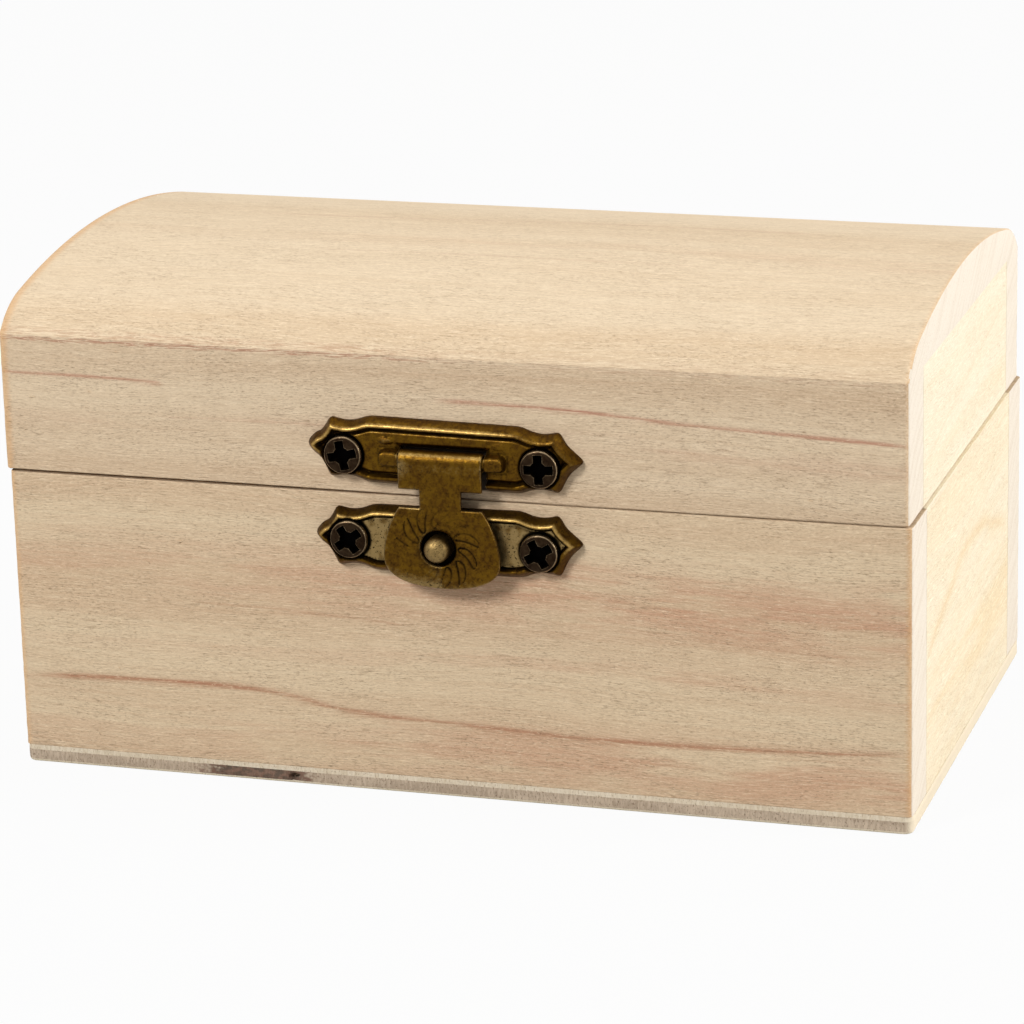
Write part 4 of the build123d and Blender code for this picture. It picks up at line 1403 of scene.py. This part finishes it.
def makeLeaf(name, centre, sense, body, knuckles):
    # knuckles are the stretches of x that are rolled round the pin
    half = (boxOf(name)[1][0] - boxOf(name)[0][0]) / 2
    rolled = hinge["roll"] * math.radians(hinge["rollTurn"])
    foot = hinge["pinOut"] + 0.15

    def edge(spots):
        x, v = spots[:, 0], spots[:, 1]
        flat = np.minimum(np.minimum(half - np.abs(x), hinge["height"] - v), v - foot)
        cut = (half + hinge["height"] - hinge["corner"] - np.abs(x) - v) / math.sqrt(2)
        inside = np.minimum(flat, cut)
        for start, end in knuckles:
            strip = np.minimum(np.minimum(x - start, end - x), np.minimum(v + rolled, foot + 0.6 - v))
            inside = np.maximum(inside, strip)
        return inside

    reach = half + 0.2
    low, high = (-reach, -rolled - 0.2), (reach, hinge["height"] + 0.2)
    plan, triangles = trimmedLattice(low, high, hinge["cell"], edge)
    depth = np.maximum(edge(plan), 0)
    drop = edgeDrop(depth, hinge["ease"])
    dents = np.array([0.015 * jitter(x, v, centre, 1.6) for x, v in plan])
    away = plan[:, 1]
    backY = boxOf("base_back_panel")[1][1]
    pinZ = middleOf("left_hinge_pin")[2]
    skins = []
    for offset in (hinge["sheet"] / 2 - np.clip(drop - dents, 0, 1), np.full(len(plan), -hinge["sheet"] / 2)):
        out, rise = leafPath(away, offset)
        skins.append(np.column_stack([centre + plan[:, 0] * -sense, backY + out, pinZ + sense * rise]))
    points, faces = solidSheet(triangles, *skins)
    piece = addPiece(name + "_rolled", points, faces, [materials["bronze"]], body, [name], 50)
    crown = band(away, -hinge["roll"] * math.pi / 2, 0.9) + band(away, -hinge["roll"] * math.pi, 0.7)
    rim = 1 - eased(depth, 0.05, 0.25)
    darkening = np.zeros(len(plan))
    for side in (-1, 1):
        ring = np.hypot(plan[:, 0] - side * hinge["screwIn"], away - hinge["screwRise"])
        darkening += 0.8 * (1 - eased(ring, leafScrew["Radius"] + 0.05, leafScrew["Radius"] + 0.4))
    darkening += 0.5 * band(away, 0.9, 0.5)
    paint(piece, wear=0.6 * rim + 0.3 * crown, grime=darkening, pale=0.25 * crown)


def makeHinges():
    seats = {"base": [], "lid": []}
    pinLow, pinHigh = boxOf("left_hinge_pin")
    pinZ = middleOf("left_hinge_pin")[2]
    half = (pinHigh[0] - pinLow[0]) / 2
    middle = half / hinge["knuckles"]
    outer = [(-half, -middle - hinge["gap"]), (middle + hinge["gap"], half)]
    inner = [(-middle + hinge["gap"], middle - hinge["gap"])]
    seatY = boxOf("base_back_panel")[1][1] + hinge["sheet"]
    for side in ("left", "right"):
        centre = middleOf(side + "_hinge_pin")[0]
        for bodyName, sense, stretches in (("base", -1, outer), ("lid", 1, inner)):
            makeLeaf(side + "_hinge_" + bodyName + "_leaf", centre, sense, bodyName, stretches)
            height = pinZ + sense * hinge["screwRise"]
            for place, turn in ((-hinge["screwIn"], 20 + 31 * sense), (hinge["screwIn"], 66 - 13 * sense)):
                seats[bodyName].append((centre + place, seatY, height, turn + centre))
    for bodyName, places in seats.items():
        growScrews(bodyName + "_hinge_screws_crossed", places, leafScrew, materials["darkBronze"], bodyName,
                   [])


makeHinges()
print("pieces: hinges")


# Torn fibres

splinter = {"Length": 1.0, "Radius": 0.04, "Lift": 0.22, "Least": 0.35}
splinterSpots = {
    "base": {"count": 34, "x": (-43.0, 43.0), "z": (3.0, 29.6), "clearX": 14.0, "clearZ": 21.5, "seed": 11},
    "lid": {"count": 26, "x": (-43.0, 43.0), "z": (31.2, 43.6), "clearX": 14.5, "clearZ": 30.0, "seed": 4},
}


def splinterTree(sizes, finish):   # torn fibres that stand up a little, one on each point
    graph, given = sizedTree("tornFibres", sizes)
    length, lift = given["Length"], given["Lift"]
    ends = {"Start": graph.vector(0.0, 0.0, -0.05), "Middle": graph.vector(length * 0.5, 0.0, lift * 0.3),
            "End": graph.vector(length, 0.0, lift)}
    line = graph.add("GeometryNodeCurveQuadraticBezier", None, {"Resolution": 6, **ends})
    ring = graph.add("GeometryNodeCurvePrimitiveCircle", {"mode": "RADIUS"},
                     {"Resolution": 6, "Radius": given["Radius"]})
    fibre = graph.add("GeometryNodeCurveToMesh", None,
                      {"Curve": line, "Profile Curve": ring, "Fill Caps": True})
    turn = graph.add("GeometryNodeInputNamedAttribute", {"data_type": "FLOAT"}, {"Name": "turn"})
    euler = graph.vector(math.pi / 2, turn * -1, 0.0)
    rotation = graph.add("FunctionNodeEulerToRotation", None, {0: euler})
    chance = graph.add("FunctionNodeRandomValue", {"data_type": "FLOAT"},
                       {2: given["Least"], 3: 1.0, "Seed": 5}, out=1)
    scale = graph.vector(chance * mm, chance * mm, chance * mm)
    places = {"Points": given["Geometry"], "Instance": fibre, "Rotation": rotation, "Scale": scale}
    return closeTree(graph, graph.add("GeometryNodeInstanceOnPoints", None, places), finish)


def makeSplinters():
    frontY = boxOf("base_front_panel")[0][1]
    for bodyName, field in splinterSpots.items():
        dice = random.Random(field["seed"])
        places = []
        while len(places) < field["count"]:
            x, z = dice.uniform(*field["x"]), dice.uniform(*field["z"])
            if abs(x) > field["clearX"] or z < field["clearZ"]:
                lean = dice.choice((0, 180)) + dice.gauss(0, 22)
                places.append((x, frontY + 0.06, z, lean))
        name = bodyName + "_torn_fibres"
        tree = splinterTree(splinter, materials["topFace"])
        mesh = growMesh(name, tree, splinter, spotMesh(name + "Spots", places))
        dressPiece(name, mesh, [materials["topFace"]], bodyName, [])


makeSplinters()
print("pieces: torn fibres")
